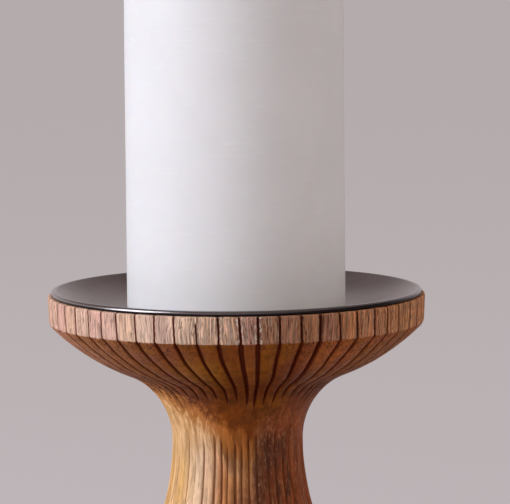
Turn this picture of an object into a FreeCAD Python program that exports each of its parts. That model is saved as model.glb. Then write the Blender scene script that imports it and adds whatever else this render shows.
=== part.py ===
import FreeCAD, Part
import Sketcher
import os
import re

# Pricket candle stand: a carved and turned wooden stand with a dished metal drip tray, a screwed-in
# spike and a pillar candle. Z is up, the origin is on the floor under the middle of the foot.

# Driving sizes, in millimetres. Counts and shares have no unit.
SIZES = {
    # Turned column: its shoulder stands on the foot and its head carries the tray
    "column_height": 130.0,
    "head_radius": 60.5,
    "head_edge_bevel": 0.5,
    "band_height": 9.0,
    "band_taper": 0.4,
    "band_foot_round": 3.4,
    "neck_radius": 21.0,
    "neck_depth": 46.7,
    "cove_reach_share": 0.375,
    "cove_drop_share": 0.43,
    "shoulder_radius": 48.0,
    "flare_share": 0.57,
    "tenon_radius": 15.0,
    "tenon_length": 5.8,
    "tenon_chamfer": 0.6,
    # Carved flutes round the head
    "head_flute_count": 56,
    "head_flute_width": 0.9,
    "head_flute_depth": 1.1,
    "head_flute_end_share": 0.585,
    # Turned foot
    "foot_radius": 52.0,
    "foot_thickness": 19.0,
    "foot_top_round": 4.0,
    "foot_base_bevel": 1.0,
    "tenon_clearance": 0.1,
    "mortise_bottom_gap": 0.2,
    "counterbore_radius": 10.0,
    "counterbore_depth": 6.0,
    # Felt pad glued into the foot
    "felt_radius": 46.0,
    "felt_thickness": 2.0,
    "felt_proud": 1.0,
    "felt_clearance": 0.2,
    # Pressed steel drip tray
    "tray_thickness": 1.5,
    "tray_depth": 6.0,
    "tray_lip_width": 1.6,
    "tray_lip_setback": 1.1,
    "tray_lip_bevel": 0.4,
    "lip_clearance": 0.1,
    "wall_clearance": 0.3,
    "candle_margin": 3.0,
    # Pricket: a spike with a countersunk collar and a threaded shank
    "pricket_head_radius": 6.5,
    "spike_radius": 3.0,
    "spike_length": 30.0,
    "spike_grip_length": 5.0,
    "spike_flats_width": 5.0,
    "spike_flats_count": 2,
    "spike_tip_radius": 0.35,
    "shank_length": 14.0,
    # Thread size, threaded inserts, bolt and washer
    "thread_radius": 3.0,
    "thread_clearance": 0.05,
    "hole_clearance": 0.3,
    "thread_chamfer": 0.5,
    "insert_radius": 4.5,
    "insert_length": 13.0,
    "insert_chamfer": 0.4,
    "insert_gap": 0.3,
    "pilot_length": 6.0,
    "bolt_head_flats": 10.0,
    "bolt_head_height": 4.0,
    "bolt_length": 20.0,
    "washer_radius": 9.0,
    "washer_thickness": 1.6,
    # Pillar candle and its wick
    "candle_radius": 35.0,
    "candle_height": 150.0,
    "candle_top_round": 2.5,
    "candle_base_bevel": 0.8,
    "candle_dish_depth": 1.5,
    "candle_rim_width": 5.0,
    "socket_clearance": 0.5,
    "socket_end_gap": 3.0,
    "wick_radius": 1.2,
    "wick_clearance": 0.05,
    "wick_free_length": 12.0,
    # How far a cutting outline runs past the solid that it cuts
    "overrun": 2.0,
}

# How closely an edge has to lie to the place where it is looked for
EDGE_MATCH = 0.001
# The bolt's hexagon: its sides, and the turn of its first corner in degrees
HEXAGON_SIDES = 6
HEXAGON_TURN = 15

doc = FreeCAD.newDocument("pricket_candle_stand")
sheet = doc.addObject("Spreadsheet::Sheet", "Sizes")
for row, (alias, size) in enumerate(SIZES.items(), start=1):
    sheet.set(f"A{row}", alias)
    sheet.set(f"B{row}", str(size))
    sheet.setAlias(f"B{row}", alias)
doc.recompute()

# Seats up the stack, from the floor
FOOT_UNDERSIDE = "felt_proud"
SHOULDER_LEVEL = f"({FOOT_UNDERSIDE} + foot_thickness)"
HEAD_LEVEL = f"({SHOULDER_LEVEL} + column_height)"
RECESS_DEPTH = "(tray_depth - lip_clearance)"
TRAY_LEVEL = f"({HEAD_LEVEL} - {RECESS_DEPTH})"
CANDLE_LEVEL = f"({TRAY_LEVEL} + tray_thickness)"
COUNTERBORE_LEVEL = "(felt_thickness + counterbore_depth)"
WASHER_LEVEL = f"({COUNTERBORE_LEVEL} - washer_thickness)"
TENON_END_LEVEL = f"({SHOULDER_LEVEL} - tenon_length)"


def bound(text):
    """The same expression with each size's name pointing at its cell in the sheet."""
    return re.sub(
        r"[a-z_]+",
        lambda found: f"Sizes.{found.group()}" if found.group() in SIZES else found.group(),
        text,
    )


def measure(text):
    """The present value of an expression."""
    result = sheet.evalExpression(text)
    return float(getattr(result, "Value", result))


def new_body(name, level):
    """An empty body whose own zero height lies at the given level of the stand."""
    body = doc.addObject("PartDesign::Body", name)
    body.Label = name
    body.setExpression("Placement.Base.z", bound(level))
    return body


def origin_feature(body, role):
    return next(item for item in body.Origin.OriginFeatures if item.Role == role)


def new_sketch(body, name, plane="XZ_Plane"):
    sketch = body.newObject("Sketcher::SketchObject", name)
    sketch.AttachmentSupport = [(origin_feature(body, plane), "")]
    sketch.MapMode = "FlatFace"
    return sketch


def pin_point(sketch, edge, end, across, up):
    """Hold one end of an edge at two distances from the sketch's origin."""
    for kind, axis, text in (("DistanceX", -2, across), ("DistanceY", -1, up)):
        if text == "0":
            sketch.addConstraint(Sketcher.Constraint("PointOnObject", edge, end, axis))
        else:
            index = sketch.addConstraint(Sketcher.Constraint(kind, -1, 1, edge, end, measure(text)))
            sketch.setExpression(f"Constraints[{index}]", bound(text))


def add_arc(sketch, begin, finish, radius_text, left_turn):
    """An arc of under half a turn; it bends left or right on its way from begin to finish."""
    radius = measure(radius_text)
    chord = finish - begin
    side = FreeCAD.Vector(-chord.y, chord.x, 0)
    side.normalize()
    rise = (radius**2 - chord.Length**2 / 4) ** 0.5
    centre = begin + chord * 0.5 + side * (rise if left_turn else -rise)
    axis = FreeCAD.Vector(0, 0, 1)
    first, last = (begin, finish) if left_turn else (finish, begin)
    circle = Part.Circle(centre, axis, radius)
    edge = sketch.addGeometry(Part.ArcOfCircle(circle, circle.parameter(first), circle.parameter(last)))
    index = sketch.addConstraint(Sketcher.Constraint("Radius", edge, radius))
    sketch.setExpression(f"Constraints[{index}]", bound(radius_text))
    return (edge, 1, 2) if left_turn else (edge, 2, 1)


def draw_outline(sketch, corners):
    """A closed outline. A corner is (across, up); a run that bends to reach its corner adds
    the arc's radius and the word left or right for the side to which it turns."""
    points = [FreeCAD.Vector(measure(corner[0]), measure(corner[1]), 0) for corner in corners]
    edges = []
    for number, corner in enumerate(corners):
        begin, finish = points[number - 1], points[number]
        if len(corner) == 2:
            edges.append((sketch.addGeometry(Part.LineSegment(begin, finish)), 1, 2))
        else:
            edges.append(add_arc(sketch, begin, finish, corner[2], corner[3] == "left"))
    for number, (edge, _, end) in enumerate(edges):
        following, start, _ = edges[(number + 1) % len(edges)]
        sketch.addConstraint(Sketcher.Constraint("Coincident", edge, end, following, start))
        pin_point(sketch, edge, end, corners[number][0], corners[number][1])


def draw_circle(sketch, radius_text):
    circle = Part.Circle(FreeCAD.Vector(), FreeCAD.Vector(0, 0, 1), measure(radius_text))
    edge = sketch.addGeometry(circle)
    sketch.addConstraint(Sketcher.Constraint("Coincident", edge, 3, -1, 1))
    index = sketch.addConstraint(Sketcher.Constraint("Radius", edge, measure(radius_text)))
    sketch.setExpression(f"Constraints[{index}]", bound(radius_text))


def add_feature(body, kind, name, sketch=None, **sizes):
    """One step of the body's tree; sizes are expressions for the step's own properties."""
    feature = body.newObject(f"PartDesign::{kind}", name)
    if sketch is not None:
        feature.Profile = sketch
        sketch.Visibility = False
    if kind in ("Revolution", "Groove"):
        feature.ReferenceAxis = (sketch, ["V_Axis"])
        feature.Angle = 360
    for item, text in sizes.items():
        feature.setExpression(item, bound(text))
    return feature


def check_cut(before, after):
    """A cut that points away from the solid removes nothing and raises no error."""
    if after.Shape.Volume >= before.Shape.Volume:
        raise RuntimeError(f"{after.Name} removed nothing")


def cut(body, kind, name, sketch, **sizes):
    doc.recompute()
    before = body.Tip
    feature = add_feature(body, kind, name, sketch, **sizes)
    doc.recompute()
    check_cut(before, feature)
    return feature


def ring_edges(feature, places):
    """Names of the full circles at the given (radius, height) places of a turned piece."""
    wanted = [(measure(radius), measure(height)) for radius, height in places]
    names = []
    for number, edge in enumerate(feature.Shape.Edges, start=1):
        if not isinstance(edge.Curve, Part.Circle) or not edge.isClosed():
            continue
        found = (edge.Curve.Radius, edge.Curve.Center.z)
        if any(max(abs(found[0] - spot[0]), abs(found[1] - spot[1])) < EDGE_MATCH for spot in wanted):
            names.append(f"Edge{number}")
    if len(names) != len(places):
        raise RuntimeError(f"{feature.Name} has {len(names)} of {len(places)} edges to round")
    return names


def soften(body, kind, name, places, size_text):
    """Round (Fillet) or bevel (Chamfer) the turned edges at the given places."""
    doc.recompute()
    base = body.Tip
    feature = body.newObject(f"PartDesign::{kind}", name)
    feature.Base = (base, ring_edges(base, places))
    feature.setExpression("Radius" if kind == "Fillet" else "Size", bound(size_text))
    body.Tip = feature
    return feature


def carve_round(body, name, corners, width, count):
    """One cut along a meridian of the turned piece, as wide as stated, repeated round the axis."""
    sketch = new_sketch(body, f"{name}_outline")
    draw_outline(sketch, corners)
    kerf = cut(body, "Pocket", f"{name}_kerf", sketch, Length=width)
    kerf.SideType = "Symmetric"
    doc.recompute()
    pattern = body.newObject("PartDesign::PolarPattern", f"{name}_pattern")
    pattern.Originals = [kerf]
    pattern.Axis = (origin_feature(body, "Z_Axis"), [""])
    pattern.Angle = 360
    pattern.setExpression("Occurrences", bound(count))
    body.Tip = pattern
    doc.recompute()
    check_cut(kerf, pattern)


# Where the head's band meets the carved underside, and where that swells into the cove
BAND_FOOT = ("(head_radius - band_taper)", "(column_height - band_height)")
COVE_TOP_RUN = "((head_radius - band_taper - neck_radius) * cove_reach_share)"
COVE_TOP_RISE = "((neck_depth - band_height) * (1 - cove_drop_share))"
NECK = ("neck_radius", "(column_height - neck_depth)")
COVE_TOP = (f"({NECK[0]} + {COVE_TOP_RUN})", f"({NECK[1]} + {COVE_TOP_RISE})")
# The cove leaves the neck upright and has turned by this angle at its top
COVE_TURN = f"(2 * atan({COVE_TOP_RUN} / {COVE_TOP_RISE}))"
COVE_RADIUS = f"(({COVE_TOP_RUN}^2 + {COVE_TOP_RISE}^2) / (2 * {COVE_TOP_RUN}))"
# The swelling underside runs on from the cove without a break
SWELL_RUN = f"({BAND_FOOT[0]} - {COVE_TOP[0]})"
SWELL_RISE = f"({BAND_FOOT[1]} - {COVE_TOP[1]})"
SWELL_CHORD_ANGLE = f"atan({SWELL_RUN} / {SWELL_RISE})"
SWELL_BEND = f"({COVE_TURN} - {SWELL_CHORD_ANGLE})"
SWELL_RADIUS = f"(sqrt({SWELL_RUN}^2 + {SWELL_RISE}^2) / (2 * sin({SWELL_BEND})))"
SWELL_FOOT_ANGLE = f"({SWELL_CHORD_ANGLE} - {SWELL_BEND})"
# Below the neck two tangent arcs flare out and come upright again at the shoulder
FLARE_RUN = "(shoulder_radius - neck_radius)"
FLARE_TURN = f"(2 * atan({FLARE_RUN} / {NECK[1]}))"
FLARE_RADIUS = f"({NECK[1]} / sin({FLARE_TURN}) * flare_share)"
SKIRT_RADIUS = f"({NECK[1]} / sin({FLARE_TURN}) * (1 - flare_share))"
FLARE_FOOT = (
    f"(neck_radius + {FLARE_RADIUS} * (1 - cos({FLARE_TURN})))",
    f"({NECK[1]} - {FLARE_RADIUS} * sin({FLARE_TURN}))",
)

# The pressed wall of the tray is an arc that leaves the flat floor without a break
TRAY_FLAT_RADIUS = "(candle_radius + candle_margin)"
TRAY_LIP_RADIUS = "(head_radius - tray_lip_setback)"
TRAY_MOUTH_RADIUS = f"({TRAY_LIP_RADIUS} - tray_lip_width)"
TRAY_WALL_RUN = f"({TRAY_MOUTH_RADIUS} - {TRAY_FLAT_RADIUS})"
TRAY_WALL_RADIUS = f"(({TRAY_WALL_RUN}^2 + tray_depth^2) / (2 * tray_depth))"
TRAY_BACK_RADIUS = f"({TRAY_WALL_RADIUS} + tray_thickness)"
TRAY_BACK_END = f"({TRAY_FLAT_RADIUS} + sqrt({TRAY_BACK_RADIUS}^2 - ({TRAY_BACK_RADIUS} - tray_depth)^2))"
# The pricket's collar is a ninety degree cone, so its dimple drops as far as it narrows
SHANK_HOLE_RADIUS = "(thread_radius + hole_clearance)"
DIMPLE_DROP = f"(pricket_head_radius - {SHANK_HOLE_RADIUS})"
DIMPLE_END = f"(tray_thickness - {DIMPLE_DROP} - sqrt(2) * tray_thickness)"
DIMPLE_BACK_RADIUS = "(pricket_head_radius + (sqrt(2) - 1) * tray_thickness)"
SOCKET_RADIUS = "(spike_radius + socket_clearance)"
SOCKET_DEPTH = "(spike_length + socket_end_gap)"


def make_column():
    """Head, neck and stem, turned from one block, with seats for the tray and both inserts."""
    body = new_body("turned_column", SHOULDER_LEVEL)
    outline = new_sketch(body, "column_outline")
    draw_outline(outline, [
        ("0", "-tenon_length"),
        ("tenon_radius", "-tenon_length"),
        ("tenon_radius", "0"),
        ("shoulder_radius", "0"),
        (*FLARE_FOOT, SKIRT_RADIUS, "left"),
        (*NECK, FLARE_RADIUS, "right"),
        (*COVE_TOP, COVE_RADIUS, "right"),
        (*BAND_FOOT, SWELL_RADIUS, "left"),
        ("head_radius", "column_height"),
        ("0", "column_height"),
    ])
    add_feature(body, "Revolution", "column_blank", outline)
    soften(body, "Fillet", "band_foot_rounding", [BAND_FOOT], "band_foot_round")
    soften(body, "Chamfer", "head_edge_bevel", [("head_radius", "column_height")], "head_edge_bevel")
    soften(body, "Chamfer", "tenon_lead", [("tenon_radius", "-tenon_length")], "tenon_chamfer")
    cut_tray_recess(body)
    cut_insert_bore(body)
    carve_head(body)
    return body


def cut_tray_recess(body):
    """The tray's nest in the head, its dimple's countersink and the pricket's insert bore."""
    back = f"({TRAY_BACK_RADIUS} + wall_clearance)"
    floor = f"(column_height - {RECESS_DEPTH})"
    floor_radius = f"({TRAY_FLAT_RADIUS} + sqrt({back}^2 - {TRAY_BACK_RADIUS}^2))"
    mouth = f"({TRAY_FLAT_RADIUS} + sqrt({back}^2 - ({TRAY_BACK_RADIUS} - {RECESS_DEPTH})^2))"
    sink_radius = f"({DIMPLE_BACK_RADIUS} + sqrt(2) * wall_clearance)"
    insert_bottom = f"({floor} + {DIMPLE_END} - insert_gap - insert_length)"
    nest = new_sketch(body, "tray_recess_outline")
    draw_outline(nest, [
        ("0", f"{insert_bottom} - pilot_length"),
        (SHANK_HOLE_RADIUS, f"{insert_bottom} - pilot_length"),
        (SHANK_HOLE_RADIUS, insert_bottom),
        ("insert_radius", insert_bottom),
        ("insert_radius", f"{floor} - ({sink_radius} - insert_radius)"),
        (sink_radius, floor),
        (floor_radius, floor),
        (mouth, "column_height", back, "left"),
        (mouth, "column_height + overrun"),
        ("0", "column_height + overrun"),
    ])
    cut(body, "Groove", "tray_recess", nest)


def cut_insert_bore(body):
    """The tenon's bore for its insert, with a pilot hole beyond it for the bolt's end."""
    insert_end = "insert_length - tenon_length"
    pilot_end = f"{insert_end} + pilot_length"
    outline = new_sketch(body, "foot_insert_bore_outline")
    draw_outline(outline, [
        ("0", "-tenon_length - overrun"),
        ("insert_radius", "-tenon_length - overrun"),
        ("insert_radius", insert_end),
        (SHANK_HOLE_RADIUS, insert_end),
        (SHANK_HOLE_RADIUS, pilot_end),
        ("0", pilot_end),
    ])
    cut(body, "Groove", "foot_insert_bore", outline)


def carve_head(body):
    """Flutes down the band, round its foot and in along the swelling underside."""
    depth = "head_flute_depth"
    floor_foot = (
        f"{BAND_FOOT[0]} - {depth} * cos({SWELL_FOOT_ANGLE})",
        f"{BAND_FOOT[1]} + {depth} * sin({SWELL_FOOT_ANGLE})",
    )
    floor_end = (
        f"({COVE_TOP[0]} - {depth} * cos({COVE_TURN}))",
        f"({COVE_TOP[1]} + {depth} * sin({COVE_TURN}))",
    )
    end_turn = f"({COVE_TURN} * head_flute_end_share)"
    run_out = (
        f"({NECK[0]} + {COVE_RADIUS} * (1 - cos({end_turn})))",
        f"({NECK[1]} + {COVE_RADIUS} * sin({end_turn}))",
    )
    run = f"({floor_end[0]} - {run_out[0]})"
    rise = f"({floor_end[1]} - {run_out[1]})"
    end_bend = f"({COVE_TURN} - atan({run} / {rise}))"
    end_radius = f"(sqrt({run}^2 + {rise}^2) / (2 * sin({end_bend})))"
    carve_round(body, "head_flute", [
        (f"head_radius - {depth} * cos({SWELL_FOOT_ANGLE})", "column_height + overrun"),
        floor_foot,
        (*floor_end, f"{SWELL_RADIUS} - {depth}", "right"),
        (*run_out, end_radius, "left"),
        ("head_radius + overrun", run_out[1]),
        ("head_radius + overrun", "column_height + overrun"),
    ], "head_flute_width", "head_flute_count")


def make_foot():
    """The wide turned disc under the column, with its mortise, screw hole and felt recess."""
    body = new_body("foot", FOOT_UNDERSIDE)
    mortise_radius = "(tenon_radius + tenon_clearance)"
    mortise_floor = "(foot_thickness - tenon_length - mortise_bottom_gap)"
    felt_recess = "(felt_thickness - felt_proud)"
    bore_floor = f"({felt_recess} + counterbore_depth)"
    outline = new_sketch(body, "foot_outline")
    draw_outline(outline, [
        (SHANK_HOLE_RADIUS, bore_floor),
        ("counterbore_radius", bore_floor),
        ("counterbore_radius", felt_recess),
        ("felt_radius + felt_clearance", felt_recess),
        ("felt_radius + felt_clearance", "0"),
        ("foot_radius", "0"),
        ("foot_radius", "foot_thickness"),
        (mortise_radius, "foot_thickness"),
        (mortise_radius, mortise_floor),
        (SHANK_HOLE_RADIUS, mortise_floor),
    ])
    add_feature(body, "Revolution", "foot_blank", outline)
    soften(body, "Fillet", "foot_top_rounding", [("foot_radius", "foot_thickness")], "foot_top_round")
    soften(body, "Chamfer", "foot_base_bevel", [("foot_radius", "0")], "foot_base_bevel")
    return body


def make_felt():
    """The round pad that the stand rests on."""
    body = new_body("felt_pad", "0")
    outline = new_sketch(body, "felt_outline", "XY_Plane")
    draw_circle(outline, "felt_radius")
    add_feature(body, "Pad", "felt_disc", outline, Length="felt_thickness")
    return body


def make_tray():
    """Dished tray of even sheet: flat floor, rising wall, flat lip and a dimple for the pricket."""
    body = new_body("drip_tray", TRAY_LEVEL)
    lip_top = "tray_thickness + tray_depth"
    outline = new_sketch(body, "tray_outline")
    draw_outline(outline, [
        (SHANK_HOLE_RADIUS, f"tray_thickness - {DIMPLE_DROP}"),
        (SHANK_HOLE_RADIUS, DIMPLE_END),
        (DIMPLE_BACK_RADIUS, "0"),
        (TRAY_FLAT_RADIUS, "0"),
        (TRAY_BACK_END, "tray_depth", TRAY_BACK_RADIUS, "left"),
        (TRAY_LIP_RADIUS, "tray_depth"),
        (TRAY_LIP_RADIUS, lip_top),
        (TRAY_MOUTH_RADIUS, lip_top),
        (TRAY_FLAT_RADIUS, "tray_thickness", TRAY_WALL_RADIUS, "right"),
        ("pricket_head_radius", "tray_thickness"),
    ])
    add_feature(body, "Revolution", "tray_pressing", outline)
    lip_edges = [(TRAY_LIP_RADIUS, lip_top), (TRAY_LIP_RADIUS, "tray_depth")]
    soften(body, "Chamfer", "lip_bevel", lip_edges, "tray_lip_bevel")
    return body


def make_pricket():
    """Spike, countersunk collar and threaded shank in one turned piece, with two spanner flats."""
    cone_drop = "(pricket_head_radius - thread_radius)"
    body_length = f"(shank_length + {cone_drop})"
    grip_end = f"{body_length} + spike_grip_length"
    body = new_body("pricket", f"{CANDLE_LEVEL} - {body_length}")
    outline = new_sketch(body, "pricket_outline")
    draw_outline(outline, [
        ("0", "0"),
        ("thread_radius - thread_chamfer", "0"),
        ("thread_radius", "thread_chamfer"),
        ("thread_radius", "shank_length"),
        ("pricket_head_radius", body_length),
        ("spike_radius", body_length),
        ("spike_radius", grip_end),
        ("spike_tip_radius", f"{body_length} + spike_length - spike_tip_radius"),
        ("0", f"{body_length} + spike_length"),
    ])
    add_feature(body, "Revolution", "pricket_turning", outline)
    flat = "spike_flats_width / 2"
    carve_round(body, "spanner_flat", [
        (flat, body_length),
        ("spike_radius + overrun", body_length),
        ("spike_radius + overrun", grip_end),
        (flat, grip_end),
    ], "4 * spike_radius", "spike_flats_count")
    return body


def make_insert(name, level):
    """A brass threaded insert, pressed into the wood."""
    body = new_body(name, level)
    outline = new_sketch(body, f"{name}_outline")
    inner = "thread_radius + thread_clearance"
    draw_outline(outline, [
        (inner, "0"),
        ("insert_radius - insert_chamfer", "0"),
        ("insert_radius", "insert_chamfer"),
        ("insert_radius", "insert_length - insert_chamfer"),
        ("insert_radius - insert_chamfer", "insert_length"),
        (inner, "insert_length"),
    ])
    add_feature(body, "Revolution", f"{name}_turning", outline)
    return body


def make_bolt():
    """The hexagon bolt that draws the foot up against the column."""
    body = new_body("foot_bolt", f"{WASHER_LEVEL} - bolt_head_height")
    head = new_sketch(body, "bolt_head_outline", "XY_Plane")
    reach = f"bolt_head_flats / 2 / cos(180 / {HEXAGON_SIDES})"
    turns = [HEXAGON_TURN + 360 / HEXAGON_SIDES * side for side in range(HEXAGON_SIDES)]
    draw_outline(head, [(f"{reach} * cos({turn})", f"{reach} * sin({turn})") for turn in turns])
    add_feature(body, "Pad", "bolt_head", head, Length="bolt_head_height")
    shank = new_sketch(body, "bolt_shank_outline", "XY_Plane")
    draw_circle(shank, "thread_radius")
    add_feature(body, "Pad", "bolt_shank", shank, Length="bolt_head_height + bolt_length")
    end = [("thread_radius", "bolt_head_height + bolt_length")]
    soften(body, "Chamfer", "bolt_point", end, "thread_chamfer")
    return body


def make_washer():
    """The wide washer between the bolt's head and the foot."""
    body = new_body("foot_washer", WASHER_LEVEL)
    outline = new_sketch(body, "washer_outline", "XY_Plane")
    draw_circle(outline, "washer_radius")
    draw_circle(outline, SHANK_HOLE_RADIUS)
    add_feature(body, "Pad", "washer_ring", outline, Length="washer_thickness")
    return body


def make_candle():
    """A cast pillar candle with a drilled socket below and a wick hole above it."""
    body = new_body("pillar_candle", CANDLE_LEVEL)
    wick_hole = "wick_radius + wick_clearance"
    outline = new_sketch(body, "candle_outline")
    draw_outline(outline, [
        (SOCKET_RADIUS, "0"),
        ("candle_radius", "0"),
        ("candle_radius", "candle_height"),
        ("candle_radius - candle_rim_width", "candle_height"),
        (wick_hole, "candle_height - candle_dish_depth"),
        (wick_hole, SOCKET_DEPTH),
        (SOCKET_RADIUS, SOCKET_DEPTH),
    ])
    add_feature(body, "Revolution", "candle_casting", outline)
    soften(body, "Fillet", "candle_top_rounding", [("candle_radius", "candle_height")], "candle_top_round")
    soften(body, "Chamfer", "candle_base_bevel", [("candle_radius", "0")], "candle_base_bevel")
    return body


def make_wick():
    """A plain round wick that stands up from the dished top."""
    body = new_body("wick", f"{CANDLE_LEVEL} + {SOCKET_DEPTH}")
    outline = new_sketch(body, "wick_outline", "XY_Plane")
    draw_circle(outline, "wick_radius")
    length = f"candle_height - {SOCKET_DEPTH} + wick_free_length"
    add_feature(body, "Pad", "wick_cord", outline, Length=length)
    return body


INSERT_TOP = f"({TRAY_LEVEL} + {DIMPLE_END} - insert_gap)"
pieces = [
    make_column(),
    make_foot(),
    make_felt(),
    make_tray(),
    make_pricket(),
    make_insert("pricket_insert", f"{INSERT_TOP} - insert_length"),
    make_insert("foot_insert", TENON_END_LEVEL),
    make_bolt(),
    make_washer(),
    make_candle(),
    make_wick(),
]
doc.recompute()

for item in doc.Objects:
    if {"Invalid", "Error"} & set(item.State):
        raise RuntimeError(f"{item.Name} could not be worked out: {item.State}")
for piece in pieces:
    if piece.Shape.isNull() or not piece.Shape.isValid() or len(piece.Shape.Solids) != 1:
        raise RuntimeError(f"{piece.Label} is not one sound solid")

os.makedirs("parts", exist_ok=True)
for piece in pieces:
    piece.Shape.exportStep(f"parts/{piece.Label}.step")
    box = piece.Shape.optimalBoundingBox(False, False)
    print(f"{piece.Label}: {piece.Shape.Volume:.1f} mm3, z {box.ZMin:.2f} to {box.ZMax:.2f}")
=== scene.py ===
# %% [markdown]
# A pricket candle stand: a turned wooden stand whose head is carved all round with flutes, a dished
# dark metal plate let into the head, and a pillar candle on the plate's spike.
# The packed model is the fixed frame. Every piece made here rides on one of its bodies, and a piece
# that looks better than a packed solid stands in for it.
# %% Load the frame
import math
import random

import bmesh
import bpy
import numpy as np
from mathutils import Color, Matrix, Vector, noise


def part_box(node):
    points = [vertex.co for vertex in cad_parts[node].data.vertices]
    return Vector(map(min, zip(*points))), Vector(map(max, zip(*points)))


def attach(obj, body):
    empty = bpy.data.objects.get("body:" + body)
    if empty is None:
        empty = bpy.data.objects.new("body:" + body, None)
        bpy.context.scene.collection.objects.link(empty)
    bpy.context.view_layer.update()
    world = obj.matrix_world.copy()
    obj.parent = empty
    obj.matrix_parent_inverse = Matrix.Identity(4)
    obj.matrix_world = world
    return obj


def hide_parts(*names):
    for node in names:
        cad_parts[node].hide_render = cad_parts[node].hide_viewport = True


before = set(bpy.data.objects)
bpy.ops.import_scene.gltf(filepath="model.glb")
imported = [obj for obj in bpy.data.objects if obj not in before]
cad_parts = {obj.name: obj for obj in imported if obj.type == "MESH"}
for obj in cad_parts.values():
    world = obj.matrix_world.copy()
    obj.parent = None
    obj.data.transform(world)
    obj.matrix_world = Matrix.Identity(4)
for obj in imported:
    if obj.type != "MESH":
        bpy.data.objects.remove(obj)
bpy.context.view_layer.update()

print("Nodes in the frame:", ", ".join(sorted(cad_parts)))

# %% [markdown]
# Heights come from the frame, so that each piece sits where the packed solid sits. The few sizes
# that a box can't tell, such as the neck's radius, are written here in millimetres, like the
# sizes on a turner's drawing.
# %% Sizes of the turned wood
MM = 0.001

column_low, column_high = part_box("turned_column")
HEAD_TOP = column_high.z
HEAD_RADIUS = column_high.x
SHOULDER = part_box("foot")[1].z
HEAD_EDGE_ROUND = 0.6 * MM
BAND_HEIGHT = 9.0 * MM
BAND_TAPER = 0.4 * MM
BAND_FOOT_ROUND = 2.6 * MM
NECK_RADIUS = 21.0 * MM
NECK_DEPTH = 46.7 * MM
COVE_REACH_SHARE = 0.375
COVE_DROP_SHARE = 0.43
SHOULDER_RADIUS = 48.0 * MM
FLARE_SHARE = 0.57

print(f"The head is {2 * HEAD_RADIUS / MM:.1f} mm across and its top is {HEAD_TOP / MM:.1f} mm up")

# %% [markdown]
# All the large pieces are turned, so one lathe makes them. A lathe needs an outline: straight runs
# are just corners, and round stretches are arcs given by their end, radius and side.
# %% Outline helpers
LEFT, RIGHT = 1, -1


def arc_to(begin, finish, radius, side, steps):
    """Points after begin and up to finish on an arc that turns to the given side on its way."""
    begin, finish = Vector(begin), Vector(finish)
    chord = finish - begin
    across = Vector((-chord.y, chord.x)).normalized()
    rise = math.sqrt(radius**2 - chord.length_squared / 4)
    centre = begin + chord / 2 + across * rise * side
    turn = 2 * math.asin(chord.length / 2 / radius) * side
    arm = begin - centre
    return [centre + Matrix.Rotation(turn * step / steps, 2) @ arm for step in range(1, steps + 1)]


def line_to(begin, finish, steps):
    """Points after begin and up to finish, evenly spaced on a straight run."""
    begin, finish = Vector(begin), Vector(finish)
    return [begin.lerp(finish, step / steps) for step in range(1, steps + 1)]


def round_corner(before, corner, after, radius, steps):
    """The arc that eases one corner of an outline, from its first point to its last."""
    before, corner, after = Vector(before), Vector(corner), Vector(after)
    back, ahead = (before - corner).normalized(), (after - corner).normalized()
    turn = math.pi - back.angle(ahead)
    reach = radius * math.tan(turn / 2)
    first, last = corner + back * reach, corner + ahead * reach
    side = LEFT if (-back).cross(ahead) > 0 else RIGHT
    return [first, *arc_to(first, last, radius, side, steps)]


print("Halfway round a quarter circle:", arc_to((1, 0), (0, 1), 1, LEFT, steps=2)[0])

# %% [markdown]
# A full spin of the outline with use_merge closes the seam. Points on the axis are spun into many
# doubles, so they are merged before the normals are made to face outwards. Each point of the outline
# has its row number in a layer; the spin copies it to every column, so that the carving later knows
# its place.
# %% The lathe
MERGE_DISTANCE = 0.002 * MM


def turn_on_lathe(name, outline, columns):
    """A bmesh spun from an outline of (radius, height) points, with the row number of each point."""
    shape = bmesh.new()
    row_layer = shape.verts.layers.int.new("row")
    points = []
    for row, (radius, height) in enumerate(outline):
        point = shape.verts.new((radius, 0, height))
        point[row_layer] = row
        points.append(point)
    edges = [shape.edges.new(pair) for pair in zip(points, points[1:])]
    bmesh.ops.spin(shape, geom=points + edges, axis=(0, 0, 1), cent=(0, 0, 0), dvec=(0, 0, 0),
                   angle=2 * math.pi, steps=columns, use_merge=True)
    bmesh.ops.remove_doubles(shape, verts=shape.verts, dist=MERGE_DISTANCE)
    bmesh.ops.recalc_face_normals(shape, faces=shape.faces)
    print(f"{name}: {len(outline)} rows, {len(shape.faces)} faces on the lathe")
    return shape


# %% [markdown]
# Smooth shading hides the facets, and an edge sharper than a set angle stays crisp. Each piece then
# rides on a body of the frame, and the packed solid that it stands for is hidden.
# %% From the lathe to a piece
def to_object(name, shape, body, replaced, sharp_degrees=35):
    """The finished bmesh as a smooth-shaded object that rides on a body of the frame."""
    mesh = bpy.data.meshes.new(name)
    shape.to_mesh(mesh)
    shape.free()
    for face in mesh.polygons:
        face.use_smooth = True
    mesh.set_sharp_from_angle(angle=math.radians(sharp_degrees))
    piece = bpy.data.objects.new(name, mesh)
    bpy.context.scene.collection.objects.link(piece)
    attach(piece, body)
    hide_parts(*replaced)
    print(f"{name}: {len(mesh.vertices)} vertices, rides on {body}")
    return piece


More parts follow.
